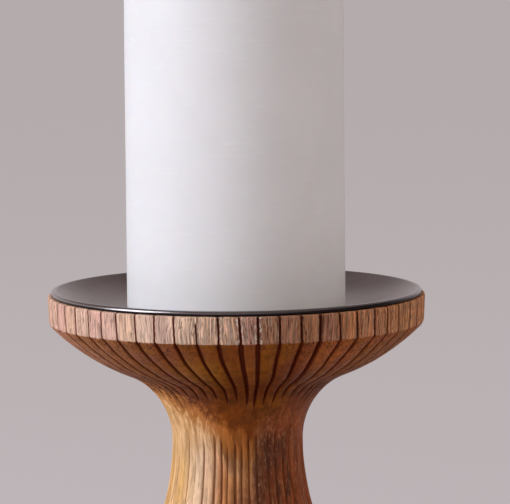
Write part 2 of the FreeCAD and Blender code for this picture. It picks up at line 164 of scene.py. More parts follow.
# %% [markdown]
# The column's outline goes out over the head, down the band, in under the head, through the neck
# and out again to the shoulder, then round the tenon. The cove leaves the neck upright, so its
# radius and its turn follow from how far it reaches; the swell runs on from it without a break. The
# flare and the skirt below it share one turn, which ends upright again at the shoulder.
# %% The column's curves
BAND_FOOT = Vector((HEAD_RADIUS - BAND_TAPER, HEAD_TOP - BAND_HEIGHT))
NECK = Vector((NECK_RADIUS, HEAD_TOP - NECK_DEPTH))
COVE_RUN = (BAND_FOOT.x - NECK.x) * COVE_REACH_SHARE
COVE_RISE = (NECK_DEPTH - BAND_HEIGHT) * (1 - COVE_DROP_SHARE)
COVE_TOP = NECK + Vector((COVE_RUN, COVE_RISE))
COVE_TURN = 2 * math.atan(COVE_RUN / COVE_RISE)
COVE_RADIUS = (COVE_RUN**2 + COVE_RISE**2) / (2 * COVE_RUN)
SWELL_CHORD = BAND_FOOT - COVE_TOP
SWELL_HALF_TURN = COVE_TURN - math.atan(SWELL_CHORD.x / SWELL_CHORD.y)
SWELL_RADIUS = SWELL_CHORD.length / (2 * math.sin(SWELL_HALF_TURN))
FLARE_DROP = NECK.y - SHOULDER
FLARE_TURN = 2 * math.atan((SHOULDER_RADIUS - NECK_RADIUS) / FLARE_DROP)
FLARE_RADIUS = FLARE_DROP / math.sin(FLARE_TURN) * FLARE_SHARE
SKIRT_RADIUS = FLARE_DROP / math.sin(FLARE_TURN) * (1 - FLARE_SHARE)
FLARE_REACH = FLARE_RADIUS * (1 - math.cos(FLARE_TURN))
FLARE_FOOT = NECK + Vector((FLARE_REACH, -FLARE_RADIUS * math.sin(FLARE_TURN)))
SHOULDER_EDGE = Vector((SHOULDER_RADIUS, SHOULDER))

print(f"The cove turns {math.degrees(COVE_TURN):.1f} degrees, the flare {math.degrees(FLARE_TURN):.1f}")

# %% [markdown]
# The curves are joined into one outside line. The band gets many rows although it is straight,
# because its cuts have ragged edges that change on the way down.
# %% The column's outside
rim_edge = Vector((HEAD_RADIUS, HEAD_TOP))
swell = arc_to(BAND_FOOT, COVE_TOP, SWELL_RADIUS, RIGHT, steps=18)
band_corner = round_corner(rim_edge, BAND_FOOT, swell[0], BAND_FOOT_ROUND, steps=5)
outside = round_corner((0, HEAD_TOP), rim_edge, BAND_FOOT, HEAD_EDGE_ROUND, steps=3)
outside += line_to(outside[-1], band_corner[0], steps=24)[:-1] + band_corner + swell[1:]
outside += arc_to(COVE_TOP, NECK, COVE_RADIUS, LEFT, steps=26)
outside += arc_to(NECK, FLARE_FOOT, FLARE_RADIUS, LEFT, steps=26)
outside += arc_to(FLARE_FOOT, SHOULDER_EDGE, SKIRT_RADIUS, RIGHT, steps=16)

print(f"The outside line has {len(outside)} rows")

# %% [markdown]
# The plate is pressed from one sheet: a flat floor, a wall that rises in one arc, and a lip. The
# nest in the head is that wall's back, with room for it all round, and a small cone takes the
# dimple under the spike's collar.
# %% The plate and its nest
TRAY_THICKNESS = 1.5 * MM
TRAY_FLAT_RADIUS = 38.0 * MM
TRAY_LIP_WIDTH = 1.6 * MM
TRAY_DEPTH = 6.0 * MM
WALL_CLEARANCE = 0.3 * MM
PRICKET_HEAD_RADIUS = 6.5 * MM

tray_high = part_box("drip_tray")[1]
lip_radius = tray_high.x
lip_top = tray_high.z
plate_level = lip_top - TRAY_THICKNESS - TRAY_DEPTH
mouth_radius = lip_radius - TRAY_LIP_WIDTH
wall_run = mouth_radius - TRAY_FLAT_RADIUS
wall_radius = (wall_run**2 + TRAY_DEPTH**2) / (2 * TRAY_DEPTH)
back_radius = wall_radius + TRAY_THICKNESS
nest_radius = back_radius + WALL_CLEARANCE
nest_floor_radius = TRAY_FLAT_RADIUS + math.sqrt(nest_radius**2 - back_radius**2)
nest_depth = HEAD_TOP - plate_level
nest_mouth = TRAY_FLAT_RADIUS + math.sqrt(nest_radius**2 - (back_radius - nest_depth) ** 2)
dimple_back = PRICKET_HEAD_RADIUS + (math.sqrt(2) - 1) * TRAY_THICKNESS
sink_radius = dimple_back + math.sqrt(2) * WALL_CLEARANCE

print(f"The nest for the plate is {nest_depth / MM:.1f} mm deep and {2 * nest_mouth / MM:.1f} mm wide")

# %% [markdown]
# Both ends of the column are bored for threaded inserts. Nobody sees this wood once the plate and
# the foot are on, so a few rows are enough.
# %% The column's seats
TENON_RADIUS = 15.0 * MM
BORE_RADIUS = 3.3 * MM
INSERT_RADIUS = 4.5 * MM
PILOT_LENGTH = 6.0 * MM

top_insert_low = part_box("pricket_insert")[0].z
foot_insert_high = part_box("foot_insert")[1].z
seat_top = [
    (0, top_insert_low - PILOT_LENGTH),
    (BORE_RADIUS, top_insert_low - PILOT_LENGTH),
    (BORE_RADIUS, top_insert_low),
    (INSERT_RADIUS, top_insert_low),
    (INSERT_RADIUS, plate_level - (sink_radius - INSERT_RADIUS)),
    (sink_radius, plate_level),
    (nest_floor_radius, plate_level),
]
seat_top += arc_to(seat_top[-1], (nest_mouth, HEAD_TOP), nest_radius, LEFT, steps=6)
seat_foot = [
    (TENON_RADIUS, SHOULDER),
    (TENON_RADIUS, column_low.z),
    (INSERT_RADIUS, column_low.z),
    (INSERT_RADIUS, foot_insert_high),
    (BORE_RADIUS, foot_insert_high),
    (BORE_RADIUS, foot_insert_high + PILOT_LENGTH),
    (0, foot_insert_high + PILOT_LENGTH),
]
column_outline = seat_top + outside + seat_foot

print(f"The whole outline has {len(column_outline)} rows")

# %% [markdown]
# Carving. Fifty-six flutes run down the band and in under the head, and a second, finer set of
# sixty-three grooves runs down the stem. 504 is a multiple of both counts, so a lathe with 504
# columns gives nine columns to each flute and eight to each groove, and the two sets meet in the
# smooth neck. Another way would be to cut each flute with a tool shape, but moving the lathe's own
# columns keeps the mesh clean and lets each cut wander as a real one does.
# %% Carving: columns
COLUMNS = 504
FLUTES = 56
GROOVES = 63
FLUTE_COLUMNS = COLUMNS // FLUTES
GROOVE_COLUMNS = COLUMNS // GROOVES
CUT_COLUMNS = 4
COLUMN_ANGLE = 360 / COLUMNS
FRONT = -90.0
UNDERSIDE_TWIST = 6.0

print(f"{FLUTES} flutes of {FLUTE_COLUMNS} columns and {GROOVES} grooves of {GROOVE_COLUMNS} columns")

# %% [markdown]
# A carver spaces flutes by eye, so none is quite even. The front ones stand where the photograph
# shows them. A flute has its place in degrees from the front, and its weight. A groove has, after
# these two, how many millimetres higher than the others it starts, and the tone of the strip beside
# it.
# %% Carving: the cuts at the front
FIRST_FRONT_FLUTE = 34
FRONT_FLUTES = [
    (-50.2, 0.8), (-44.3, 0.85), (-38.4, 0.9), (-31.3, 0.9), (-24.8, 1.0), (-18.6, 0.95),
    (-11.9, 0.85), (-5.3, 1.0), (1.2, 1.15), (6.6, 1.1), (13.1, 0.95), (19.9, 1.0),
    (25.9, 1.3), (32.6, 0.85), (39.1, 1.0), (46.2, 1.05), (52.0, 0.9), (58.1, 0.8),
]
FIRST_FRONT_GROOVE = 35
FRONT_GROOVES = [
    (-64.0, 0.5, -3.5, 0.3), (-57.5, 0.15, 0.0, 0.0), (-52.5, 0.15, 0.0, 0.5),
    (-47.4, 0.55, 3.0, 0.8), (-39.5, 0.3, -2.0, 1.0), (-35.0, 0.12, -2.0, 1.0),
    (-30.6, 0.85, 0.7, 0.4), (-25.6, 0.12, -2.0, 0.2), (-20.2, 1.3, 1.9, -0.6),
    (-13.7, 0.95, 1.5, -0.9), (-8.9, 0.7, -1.2, -0.2), (-2.1, 1.2, 0.0, 0.6),
    (3.6, 0.95, -0.5, 0.1), (9.9, 0.95, 2.3, 0.5), (16.6, 1.1, 2.7, -0.8),
    (22.0, 0.4, 0.0, -0.6), (27.2, 1.0, 3.9, -0.3), (34.9, 1.0, 4.6, -0.3),
    (43.0, 0.85, 2.7, 0.0), (47.6, 0.3, 0.0, 0.0), (51.6, 1.0, 5.8, 0.2),
    (57.4, 0.1, 0.0, 0.3), (63.0, 0.1, 0.0, 0.3), (68.7, 0.1, 0.0, 0.3),
]

print(f"The front shows {len(FRONT_FLUTES)} flutes and {len(FRONT_GROOVES)} grooves")

# %% [markdown]
# All the other cuts get their place, weight, end and tone from a seeded chance, so that each run
# gives the same stand. The front ones then take their own values.
# %% Carving: the cuts all round
chance = random.Random(12)


def by_chance(count, first, wander, weights, ends):
    """Four lists for a set of cuts: place in degrees, weight, end in metres, and tone of the strip."""
    return (
        [first + cell * 360 / count + chance.uniform(-wander, wander) for cell in range(count)],
        [chance.uniform(*weights) for _ in range(count)],
        [chance.uniform(*ends) * MM for _ in range(count)],
        [chance.uniform(-1.0, 1.0) for _ in range(count)],
    )


first_flute = 60 / FLUTES
first_groove = (CUT_COLUMNS - 1) / 2 * COLUMN_ANGLE + UNDERSIDE_TWIST
flute_place, flute_weight, flute_end, flute_tone = by_chance(
    FLUTES, first_flute, wander=0.5, weights=(0.75, 1.2), ends=(-2.2, 1.6))
groove_place, groove_weight, groove_start, groove_tone = by_chance(
    GROOVES, first_groove, wander=1.0, weights=(0.4, 1.25), ends=(-4.0, 4.5))
for cell, (place, weight) in enumerate(FRONT_FLUTES, FIRST_FRONT_FLUTE):
    flute_place[cell] = 360 + FRONT + place
    flute_weight[cell] = weight
for cell, (place, weight, start, tone) in enumerate(FRONT_GROOVES, FIRST_FRONT_GROOVE):
    groove_place[cell] = 360 + FRONT + place
    groove_weight[cell] = weight
    groove_start[cell] = start * MM
    groove_tone[cell] = tone

print(f"The heaviest flute has weight {max(flute_weight):.2f}, the lightest {min(flute_weight):.2f}")

# %% [markdown]
# Two helpers shape every cut: ease turns something on or off over a short way, and stray lets it
# wander. A kind of straying has four numbers: how much, how quickly per millimetre, how far apart
# two neighbouring cuts read the noise, and at which level of it, so that no two kinds look alike.
# %% Carving: how a cut wanders
FLUTE_SWAY = (0.35, 0.11, 7.3, 1.5)
FLUTE_SHAKE = (0.12, 0.9, 3.1, 4.0)
FLUTE_TEAR = (1.0, 1.1, 5.7, 8.0)
FLUTE_CROWN = (0.5, 0.2, 2.9, 0.5)
GROOVE_SWAY = (0.6, 0.06, 5.1, 2.5)
GROOVE_SHAKE = (0.3, 0.35, 1.7, 6.5)
GROOVE_PATCH = (0.4, 0.045, 9.1, 3.5)
GROOVE_SHADE = (0.45, 0.05, 4.3, 9.5)


def ease(value, low, high):
    """Zero below low, one above high, and a smooth rise between them."""
    share = min(max((value - low) / (high - low), 0), 1)
    return share * share * (3 - 2 * share)


def ripple(*place):
    """Smooth noise between about -1 and 1."""
    return noise.noise(Vector(place))


def stray(cell, length, kind):
    """How far one cut strays, in one of the kinds above, at a length along it."""
    amount, pace, gap, level = kind
    return amount * ripple(cell * gap, length / MM * pace, level)


print(f"Half-way, ease gives {ease(1, 0, 2)}; ripple gives {ripple(0.3, 0.4, 0.5):.2f} at one place")

# %% [markdown]
# Each row of the mesh is a small sum: where its columns stand and how deep they lie. In each cell
# four columns stand at the cut's edges and on its floor; the others spread over the land, the strip
# of wood between two cuts, which is crowned. A mark says how far a point lies in a cut, for the
# cuts' painted shade, and it is weaker at the edges, so that the painted shade fades out there.
# %% Carving: the columns of one row
CUT_PLACES = (-0.5, -0.2, 0.2, 0.5)
CUT_EDGE = 0.5
FULL_MARK = 0.3 * MM
EDGE_MARK = 0.3


def spread_row(centres, widths, depths, crowns, tones, per_cell):
    """Angles in degrees, depths, cut marks and land tones of one row's columns, cell by cell."""
    angles, cuts, marks, shades = [], [], [], []
    cells = len(centres)
    lands = per_cell - CUT_COLUMNS
    for cell in range(cells):
        centre, width = centres[cell], widths[cell]
        following = centres[(cell + 1) % cells] + (360 if cell + 1 == cells else 0)
        next_left = following - widths[(cell + 1) % cells] / 2
        deep = min(depths[cell] / FULL_MARK, 1)
        for place in CUT_PLACES:
            floor = abs(place) < CUT_EDGE
            angles.append(centre + place * width)
            cuts.append(crowns[cell] + (depths[cell] if floor else 0.0))
            marks.append(deep if floor else EDGE_MARK * deep)
            shades.append((tones[cell] + tones[cell - 1]) / 2)
        right = centre + width / 2
        for land in range(1, lands + 1):
            share = land / (lands + 1)
            angles.append(right + (next_left - right) * share)
            cuts.append(crowns[cell] * (1 - math.sin(math.pi * share)))
            marks.append(0.0)
            shades.append(tones[cell])
    return np.array([angles, cuts, marks, shades])


print("Two cells of five columns each:", spread_row([0, 180], [8, 8], [0, 0], [0, 0], [0, 0], 5)[0])

# %% [markdown]
# A flute is a narrow saw-like cut on the band and opens at once where it turns under the head. It
# leans a little to one side as it runs in, because the carver's hand does, and ends in a point. The
# band's cuts are coarser from the middle to the right, where the photograph shows torn wood, and one
# of them starts late. Each of the three cuts below is a width and a depth.
# %% Carving: sizes of the flutes
BAND_CUT = (0.72 * MM, 0.5 * MM)
COARSE_CUT = (0.3 * MM, 0.3 * MM)
UNDER_CUT = (1.62 * MM, 1.2 * MM)
TURN_UNDER = (BAND_HEIGHT - 0.4 * MM, BAND_HEIGHT + 1.2 * MM)
COARSE_SIDE = (-0.25, 0.35)
BAND_TWIST = 0.25
LEAN_LENGTH = 52 * MM
FAINT_FLUTE = 40
FAINT_RUN = (1.5 * MM, 4.5 * MM)
FLUTE_END_HEIGHT = HEAD_TOP - 33.4 * MM
FLUTE_TAPER = 6.5 * MM
BAND_CROWN = 0.07 * MM
UNDER_CROWN = 0.3 * MM
RAGGED_EDGE = 0.16 * MM
THINNEST_CUT = 0.2 * MM
POINT_SHARE = 0.3
USUAL_TEAR = 0.4

print(f"The flutes end near {FLUTE_END_HEIGHT / MM:.0f} mm up")

# %% [markdown]
# A row of the head is worked out flute by flute: where each one stands, how wide and how deep it is
# there, and how much the strip beside it is crowned.
# %% Carving: one row of flutes
def flute_row(radius, height, run):
    """Columns of a row of the head, run along the outline from the head's edge."""
    under = ease(run, *TURN_UNDER)
    lean = BAND_TWIST * (min(run / BAND_HEIGHT, 1) - 0.5)
    lean += UNDERSIDE_TWIST * ease(run, BAND_HEIGHT, BAND_HEIGHT + LEAN_LENGTH)
    narrowing = math.sqrt(radius / HEAD_RADIUS)
    centres, widths, depths, crowns = [], [], [], []
    for cell in range(FLUTES):
        place = flute_place[cell]
        coarse = ease(math.sin(math.radians(place - FRONT)), *COARSE_SIDE)
        width, depth = (fine + more * coarse for fine, more in zip(BAND_CUT, COARSE_CUT))
        if cell == FAINT_FLUTE:
            depth *= ease(run, *FAINT_RUN)
        width += (UNDER_CUT[0] * narrowing - width) * under
        depth += (UNDER_CUT[1] - depth) * under
        end = FLUTE_END_HEIGHT + flute_end[cell]
        fade = ease(height, end, end + FLUTE_TAPER)
        thin = POINT_SHARE + (1 - POINT_SHARE) * fade
        torn = RAGGED_EDGE * (USUAL_TEAR + coarse) * stray(cell, run, FLUTE_TEAR)
        centres.append(place + lean + stray(cell, run, FLUTE_SWAY) + stray(cell, run, FLUTE_SHAKE))
        widths.append(math.degrees(max(width * thin * flute_weight[cell] + torn, THINNEST_CUT) / radius))
        depths.append(depth * fade * flute_weight[cell])
        crown = BAND_CROWN + (UNDER_CROWN * narrowing - BAND_CROWN) * under
        crowns.append(crown * thin * (1 + stray(cell, run, FLUTE_CROWN)))
    return spread_row(centres, widths, depths, crowns, flute_tone, FLUTE_COLUMNS)


print("The first flute's columns, in degrees:", flute_row(HEAD_RADIUS, HEAD_TOP, 0.0)[0][:FLUTE_COLUMNS])

# %% [markdown]
# The stem's grooves are finer and shallower. Some fade out and come back, as if they were scraped
# along the grain rather than cut, and a light one still leaves a faint line.
# %% Carving: one row of grooves
GROOVE_START_HEIGHT = HEAD_TOP - 43.5 * MM
GROOVE_TAPER = 6.0 * MM
GROOVE_WIDTH = 0.8 * MM
GROOVE_DEPTH = 0.42 * MM
GROOVE_CROWN = 0.28 * MM
USUAL_PATCH = 0.9
LEAST_WIDTH, LEAST_DEPTH, LEAST_CROWN = 0.4, 0.15, 0.15
END_WIDTH = 0.5


def groove_row(radius, height):
    """Columns of a row of the stem."""
    centres, widths, depths, crowns, tones = [], [], [], [], []
    for cell in range(GROOVES):
        start = GROOVE_START_HEIGHT + groove_start[cell]
        fade = 1 - ease(height, start - GROOVE_TAPER, start)
        weight = groove_weight[cell] * (USUAL_PATCH + stray(cell, height, GROOVE_PATCH))
        sway = stray(cell, height, GROOVE_SWAY) + stray(cell, height, GROOVE_SHAKE)
        width = GROOVE_WIDTH * max(weight, LEAST_WIDTH) * (END_WIDTH + (1 - END_WIDTH) * fade)
        centres.append(groove_place[cell] + sway)
        widths.append(math.degrees(width / radius))
        depths.append(GROOVE_DEPTH * fade * max(weight, LEAST_DEPTH))
        crowns.append(GROOVE_CROWN * fade * min(LEAST_CROWN + weight, 1))
        tones.append(fade * (groove_tone[cell] + stray(cell, height, GROOVE_SHADE)))
    return spread_row(centres, widths, depths, crowns, tones, GROOVE_COLUMNS)


print(f"The grooves start near {GROOVE_START_HEIGHT / MM:.0f} mm up")

# %% [markdown]
# In the smooth neck the flute columns blend into the groove columns over a few rows. A cut goes in
# square to the surface, so each row keeps the direction that the outline has there.
# %% Carving: all rows
MIX_HIGH = HEAD_TOP - 36.0 * MM
MIX_LOW = HEAD_TOP - 40.5 * MM

carved_rows = {}
run = 0.0
for index, point in enumerate(outside):
    before, after = outside[max(index - 1, 0)], outside[min(index + 1, len(outside) - 1)]
    run += (point - outside[index - 1]).length if index else 0
    blend = ease(-point.y, -MIX_HIGH, -MIX_LOW)
    carved = flute_row(point.x, point.y, run) * (1 - blend) + groove_row(point.x, point.y) * blend
    carved_rows[len(seat_top) + index] = (point, (after - before).normalized(), run, carved)

print(f"{len(carved_rows)} rows are carved, {run / MM:.0f} mm along the outside")

# %% [markdown]
# Now the lathe's mesh is carved by moving its own vertices, and hands have worn it a little
# unevenly. Three attributes go with the mesh for the wood's finish: carve says how far a point lies
# in a cut, run how far it lies from the head's edge in millimetres, and land how light or dark its
# strip of wood is.
# %% Carve the column
WEAR = 0.06 * MM
WEAR_ROUND, WEAR_ALONG = 3, 0.12
UNCARVED_RUN = -1.0

column_shape = turn_on_lathe("carved_column", column_outline, COLUMNS)
row_layer = column_shape.verts.layers.int["row"]
carve_layer = column_shape.verts.layers.float.new("carve")
run_layer = column_shape.verts.layers.float.new("run")
land_layer = column_shape.verts.layers.float.new("land")
for vertex in column_shape.verts:
    vertex[run_layer] = UNCARVED_RUN
    if vertex[row_layer] not in carved_rows:
        continue
    point, along, run, carved = carved_rows[vertex[row_layer]]
    number = round(math.degrees(math.atan2(vertex.co.y, vertex.co.x)) / COLUMN_ANGLE) % COLUMNS
    degrees, cut, mark, tone = (float(value) for value in carved[:, number])
    turn = math.radians(degrees)
    round_about = (math.cos(turn) * WEAR_ROUND, math.sin(turn) * WEAR_ROUND)
    worn = WEAR * (1 + ripple(*round_about, run / MM * WEAR_ALONG))
    place = point + Vector((along.y, -along.x)) * (cut + worn)
    vertex.co = (place.x * math.cos(turn), place.x * math.sin(turn), place.y)
    vertex[carve_layer] = mark
    vertex[run_layer] = run / MM
    vertex[land_layer] = tone
column = to_object(
    "carved_column", column_shape, "stand", ["turned_column"], sharp_degrees=50)

# %% [markdown]
# The foot is a plain turned disc with the same bore and seats as the packed solid. It's polished like
# the stem, so all its points carry a run that lies far down the column.
# %% Turn the foot
FOOT_TOP_ROUND = 4.0 * MM
FOOT_BASE_ROUND = 1.0 * MM
SEAT_CLEARANCE = 0.1 * MM
MORTISE_CLEARANCE = 0.2 * MM
COUNTERBORE_RADIUS = 10.0 * MM
FELT_CLEARANCE = 0.2 * MM
STEM_RUN = 100.0

foot_low, foot_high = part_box("foot")
felt_low, felt_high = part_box("felt_pad")
mortise_floor = column_low.z - MORTISE_CLEARANCE
bore_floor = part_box("foot_washer")[1].z
felt_recess = felt_high.x + FELT_CLEARANCE
foot_outline = [
    (BORE_RADIUS, bore_floor),
    (COUNTERBORE_RADIUS, bore_floor),
    (COUNTERBORE_RADIUS, felt_high.z),
    (felt_recess, felt_high.z),
    (felt_recess, foot_low.z),
]
foot_edge = Vector((foot_high.x, SHOULDER))
foot_base = Vector((foot_high.x, foot_low.z))
foot_outline += round_corner(foot_outline[-1], foot_base, foot_edge, FOOT_BASE_ROUND, steps=3)
foot_outline += round_corner(foot_base, foot_edge, (TENON_RADIUS, SHOULDER), FOOT_TOP_ROUND, steps=6)
foot_outline += [
    (TENON_RADIUS + SEAT_CLEARANCE, SHOULDER),
    (TENON_RADIUS + SEAT_CLEARANCE, mortise_floor),
    (BORE_RADIUS, mortise_floor),
    (BORE_RADIUS, bore_floor),
]
foot_shape = turn_on_lathe("turned_foot", foot_outline, columns=192)
foot = to_object("turned_foot", foot_shape, "stand", ["foot"])
foot_run = foot.data.attributes.new("run", "FLOAT", "POINT")
foot_run.data.foreach_set("value", [STEM_RUN] * len(foot.data.vertices))

# %% [markdown]
# The plate's bright edge is what the eye finds first, so the lip's corners are real rounds. Its
# outline goes from the dimple out along the back, round the lip and in again over the face.
# %% Press the plate
LIP_TOP_ROUND = 1.0 * MM
LIP_BACK_ROUND = 0.45 * MM
LIP_INNER_ROUND = 0.9 * MM

dimple_drop = PRICKET_HEAD_RADIUS - BORE_RADIUS
floor_top = plate_level + TRAY_THICKNESS
back_reach = math.sqrt(back_radius**2 - (back_radius - TRAY_DEPTH) ** 2)
back_end = Vector((TRAY_FLAT_RADIUS + back_reach, lip_top - TRAY_THICKNESS))
lip_low, lip_high = Vector((lip_radius, lip_top - TRAY_THICKNESS)), Vector((lip_radius, lip_top))
mouth = Vector((mouth_radius, lip_top))
plate_outline = [
    (PRICKET_HEAD_RADIUS, floor_top),
    (BORE_RADIUS, floor_top - dimple_drop),
    (BORE_RADIUS, floor_top - dimple_drop - math.sqrt(2) * TRAY_THICKNESS),
    (dimple_back, plate_level),
    (TRAY_FLAT_RADIUS, plate_level),
]
plate_outline += arc_to(plate_outline[-1], back_end, back_radius, LEFT, steps=10)
plate_outline += round_corner(back_end, lip_low, lip_high, LIP_BACK_ROUND, steps=4)
plate_outline += round_corner(lip_low, lip_high, mouth, LIP_TOP_ROUND, steps=6)
wall = arc_to(mouth, (TRAY_FLAT_RADIUS, floor_top), wall_radius, RIGHT, steps=16)
plate_outline += round_corner(lip_high, mouth, wall[0], LIP_INNER_ROUND, steps=4) + wall[1:]
plate_outline += line_to(wall[-1], plate_outline[0], steps=4)
plate_shape = turn_on_lathe("dished_plate", plate_outline, columns=288)
plate = to_object("dished_plate", plate_shape, "stand", ["drip_tray"])

# %% [markdown]
# The candle is cast wax with a softened rim, a shallow dish round the wick and a socket for the
# spike below.
# %% The candle's outline
CANDLE_TOP_ROUND = 2.5 * MM
CANDLE_BASE_ROUND = 0.8 * MM
CANDLE_BASE_EDGE = 2.0 * MM
CANDLE_RIM = 5.0 * MM
CANDLE_DISH = 1.5 * MM
DISH_ROUND = 12.0 * MM
SOCKET_RADIUS = 3.5 * MM
WICK_HOLE = 1.25 * MM

candle_low, candle_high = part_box("pillar_candle")
wick_low, wick_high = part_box("wick")
candle_radius = candle_high.x
socket_top = wick_low.z
candle_foot = Vector((candle_radius, candle_low.z))
candle_edge = Vector((candle_radius, candle_high.z))
rim = Vector((candle_radius - CANDLE_RIM, candle_high.z))
dish_foot = Vector((WICK_HOLE, candle_high.z - CANDLE_DISH))
candle_outline = [Vector((SOCKET_RADIUS, candle_low.z))]
base_end = (candle_radius - CANDLE_BASE_EDGE, candle_low.z)
candle_outline += line_to(candle_outline[0], base_end, steps=3)
candle_outline += round_corner(candle_outline[-1], candle_foot, candle_edge, CANDLE_BASE_ROUND, steps=3)
top_round = round_corner(candle_foot, candle_edge, rim, CANDLE_TOP_ROUND, steps=7)
candle_outline += line_to(candle_outline[-1], top_round[0], steps=70)[:-1] + top_round
candle_outline += round_corner(candle_edge, rim, dish_foot, DISH_ROUND, steps=4)
candle_outline += line_to(candle_outline[-1], dish_foot, steps=8)
candle_outline += [
    (WICK_HOLE, socket_top),
    (SOCKET_RADIUS, socket_top),
    candle_outline[0],
]

print(f"The candle is {2 * candle_radius / MM:.0f} mm thick, its socket ends {socket_top / MM:.0f} mm up")

# %% [markdown]
# Its side isn't a perfect cylinder: the mould and hands leave it very slightly uneven, which is what
# makes the light on it soft. Broad swells and faint level rings are pressed into the many rows.
# %% Cast the candle
CANDLE_UNEVEN = 0.09 * MM
USUAL_DENT, DENT_CHANGE = 0.6, 0.45
SWELLS_PER_MM = 0.03
LEVELS_PER_MM, LEVEL_PLACE, LEVEL_SHARE = 0.4, (2.0, 5.0), 0.35

candle_shape = turn_on_lathe("wax_candle", candle_outline, columns=224)
for vertex in candle_shape.verts:
    around = Vector((vertex.co.x, vertex.co.y, 0))
    if around.length > candle_radius - CANDLE_TOP_ROUND:
        soft = ripple(*(vertex.co / MM * SWELLS_PER_MM))
        soft += LEVEL_SHARE * ripple(vertex.co.z / MM * LEVELS_PER_MM, *LEVEL_PLACE)
        vertex.co -= around.normalized() * CANDLE_UNEVEN * (USUAL_DENT + DENT_CHANGE * soft)
candle = to_object("wax_candle", candle_shape, "candle", ["pillar_candle"])

# %% [markdown]
# The wick is a twisted cotton cord. A thin rod from the lathe is pressed into three lobes that turn
# as they go up, which gives the strands without modelling them one by one.
# %% Twist the wick
WICK_RADIUS = 1.2 * MM
WICK_STRANDS = 3
WICK_TURN_LENGTH = 7.0 * MM
WICK_LEAN = 1.6 * MM
GAP_SHARE, STRAND_SHARE = 0.78, 0.2

wick_outline = line_to((WICK_RADIUS, wick_low.z), (WICK_RADIUS, wick_high.z), steps=150)
wick_outline = [Vector((0, wick_outline[0].y)), *wick_outline, Vector((0, wick_high.z))]
wick_shape = turn_on_lathe("cotton_wick", wick_outline, columns=24)
for vertex in wick_shape.verts:
    around = math.atan2(vertex.co.y, vertex.co.x) - 2 * math.pi * vertex.co.z / WICK_TURN_LENGTH
    vertex.co.xy *= GAP_SHARE + STRAND_SHARE * abs(math.cos(around * WICK_STRANDS / 2))
    vertex.co.x += WICK_LEAN * ease(vertex.co.z, candle_high.z, wick_high.z) ** 2
wick = to_object("cotton_wick", wick_shape, "candle", ["wick"], sharp_degrees=80)

# %% [markdown]
# Felt has no crisp edge: fibres round it off and its face is slightly fuzzy. It still lies flat.
# %% Cut the felt
FELT_EDGE_ROUND = 0.6 * MM
FELT_EDGE_WIDTH = 2.0 * MM
FELT_FUZZ = 0.05 * MM
FUZZ_PER_MM = 1.1
FUZZ_LIFT = 0.4

felt_radius = felt_high.x
felt_foot, felt_edge = Vector((felt_radius, felt_low.z)), Vector((felt_radius, felt_high.z))
felt_middle = Vector((0, felt_low.z))
felt_outline = [felt_middle, *line_to(felt_middle, (felt_radius - FELT_EDGE_WIDTH, felt_low.z), steps=24)]
felt_outline += round_corner(felt_outline[-1], felt_foot, felt_edge, FELT_EDGE_ROUND, steps=4)
felt_outline += round_corner(felt_foot, felt_edge, (0, felt_high.z), FELT_EDGE_ROUND, steps=4)
felt_outline += [Vector((0, felt_high.z))]
felt_shape = turn_on_lathe("felt_disc", felt_outline, columns=160)
for vertex in felt_shape.verts:
    fuzz = FELT_FUZZ * (1 + ripple(*(vertex.co / MM * FUZZ_PER_MM)))
    vertex.co.xy *= 1 - fuzz / felt_radius
    if vertex.co.z < FELT_EDGE_ROUND:
        vertex.co.z += fuzz * FUZZ_LIFT
felt = to_object("felt_disc", felt_shape, "stand", ["felt_pad"])

# %% [markdown]
# Finishes. Shader maths reads best as sums, so a Signal wraps one socket, and each operator adds
# one Math node behind it. The reflected forms, such as __rsub__, let a plain number stand first, as
# in 1 - mask.
# %% Sums of shader signals
def operator(operation):
    """An operator's method and its reflected form; each adds one Math node."""
    def plain(self, other):
        return self.math(operation, self, other)

    def reflected(self, other):
        return self.math(operation, other, self)

    return plain, reflected


class Signal:
    """One output of a finish; arithmetic on it adds Math nodes."""

    __add__, __radd__ = operator("ADD")
    __sub__, __rsub__ = operator("SUBTRACT")
    __mul__, __rmul__ = operator("MULTIPLY")
    __truediv__, __rtruediv__ = operator("DIVIDE")
    __pow__, __rpow__ = operator("POWER")

    def __init__(self, finish, socket):
        self.finish = finish
        self.socket = socket

    def math(self, operation, *terms):
        return self.finish.node("Math", dict(enumerate(terms)), operation=operation)

    def __neg__(self):
        return self * -1

    def __abs__(self):
        return self.math("ABSOLUTE", self)

    def rise(self, low, high):
        """Zero below low, one above high, and a smooth rise between them."""
        sockets = {"Value": self, "From Min": low, "From Max": high}
        return self.finish.node("MapRange", sockets, interpolation_type="SMOOTHSTEP")

    def fall(self, low, high):
        """One below low, zero above high, and a smooth fall between them."""
        return 1 - self.rise(low, high)

    def swing(self, amount):
        """How far a noise lies from its middle, times an amount."""
        return (self - 0.5) * amount


print("A signal also knows:", ", ".join(name for name in vars(Signal) if name[0] != "_"))

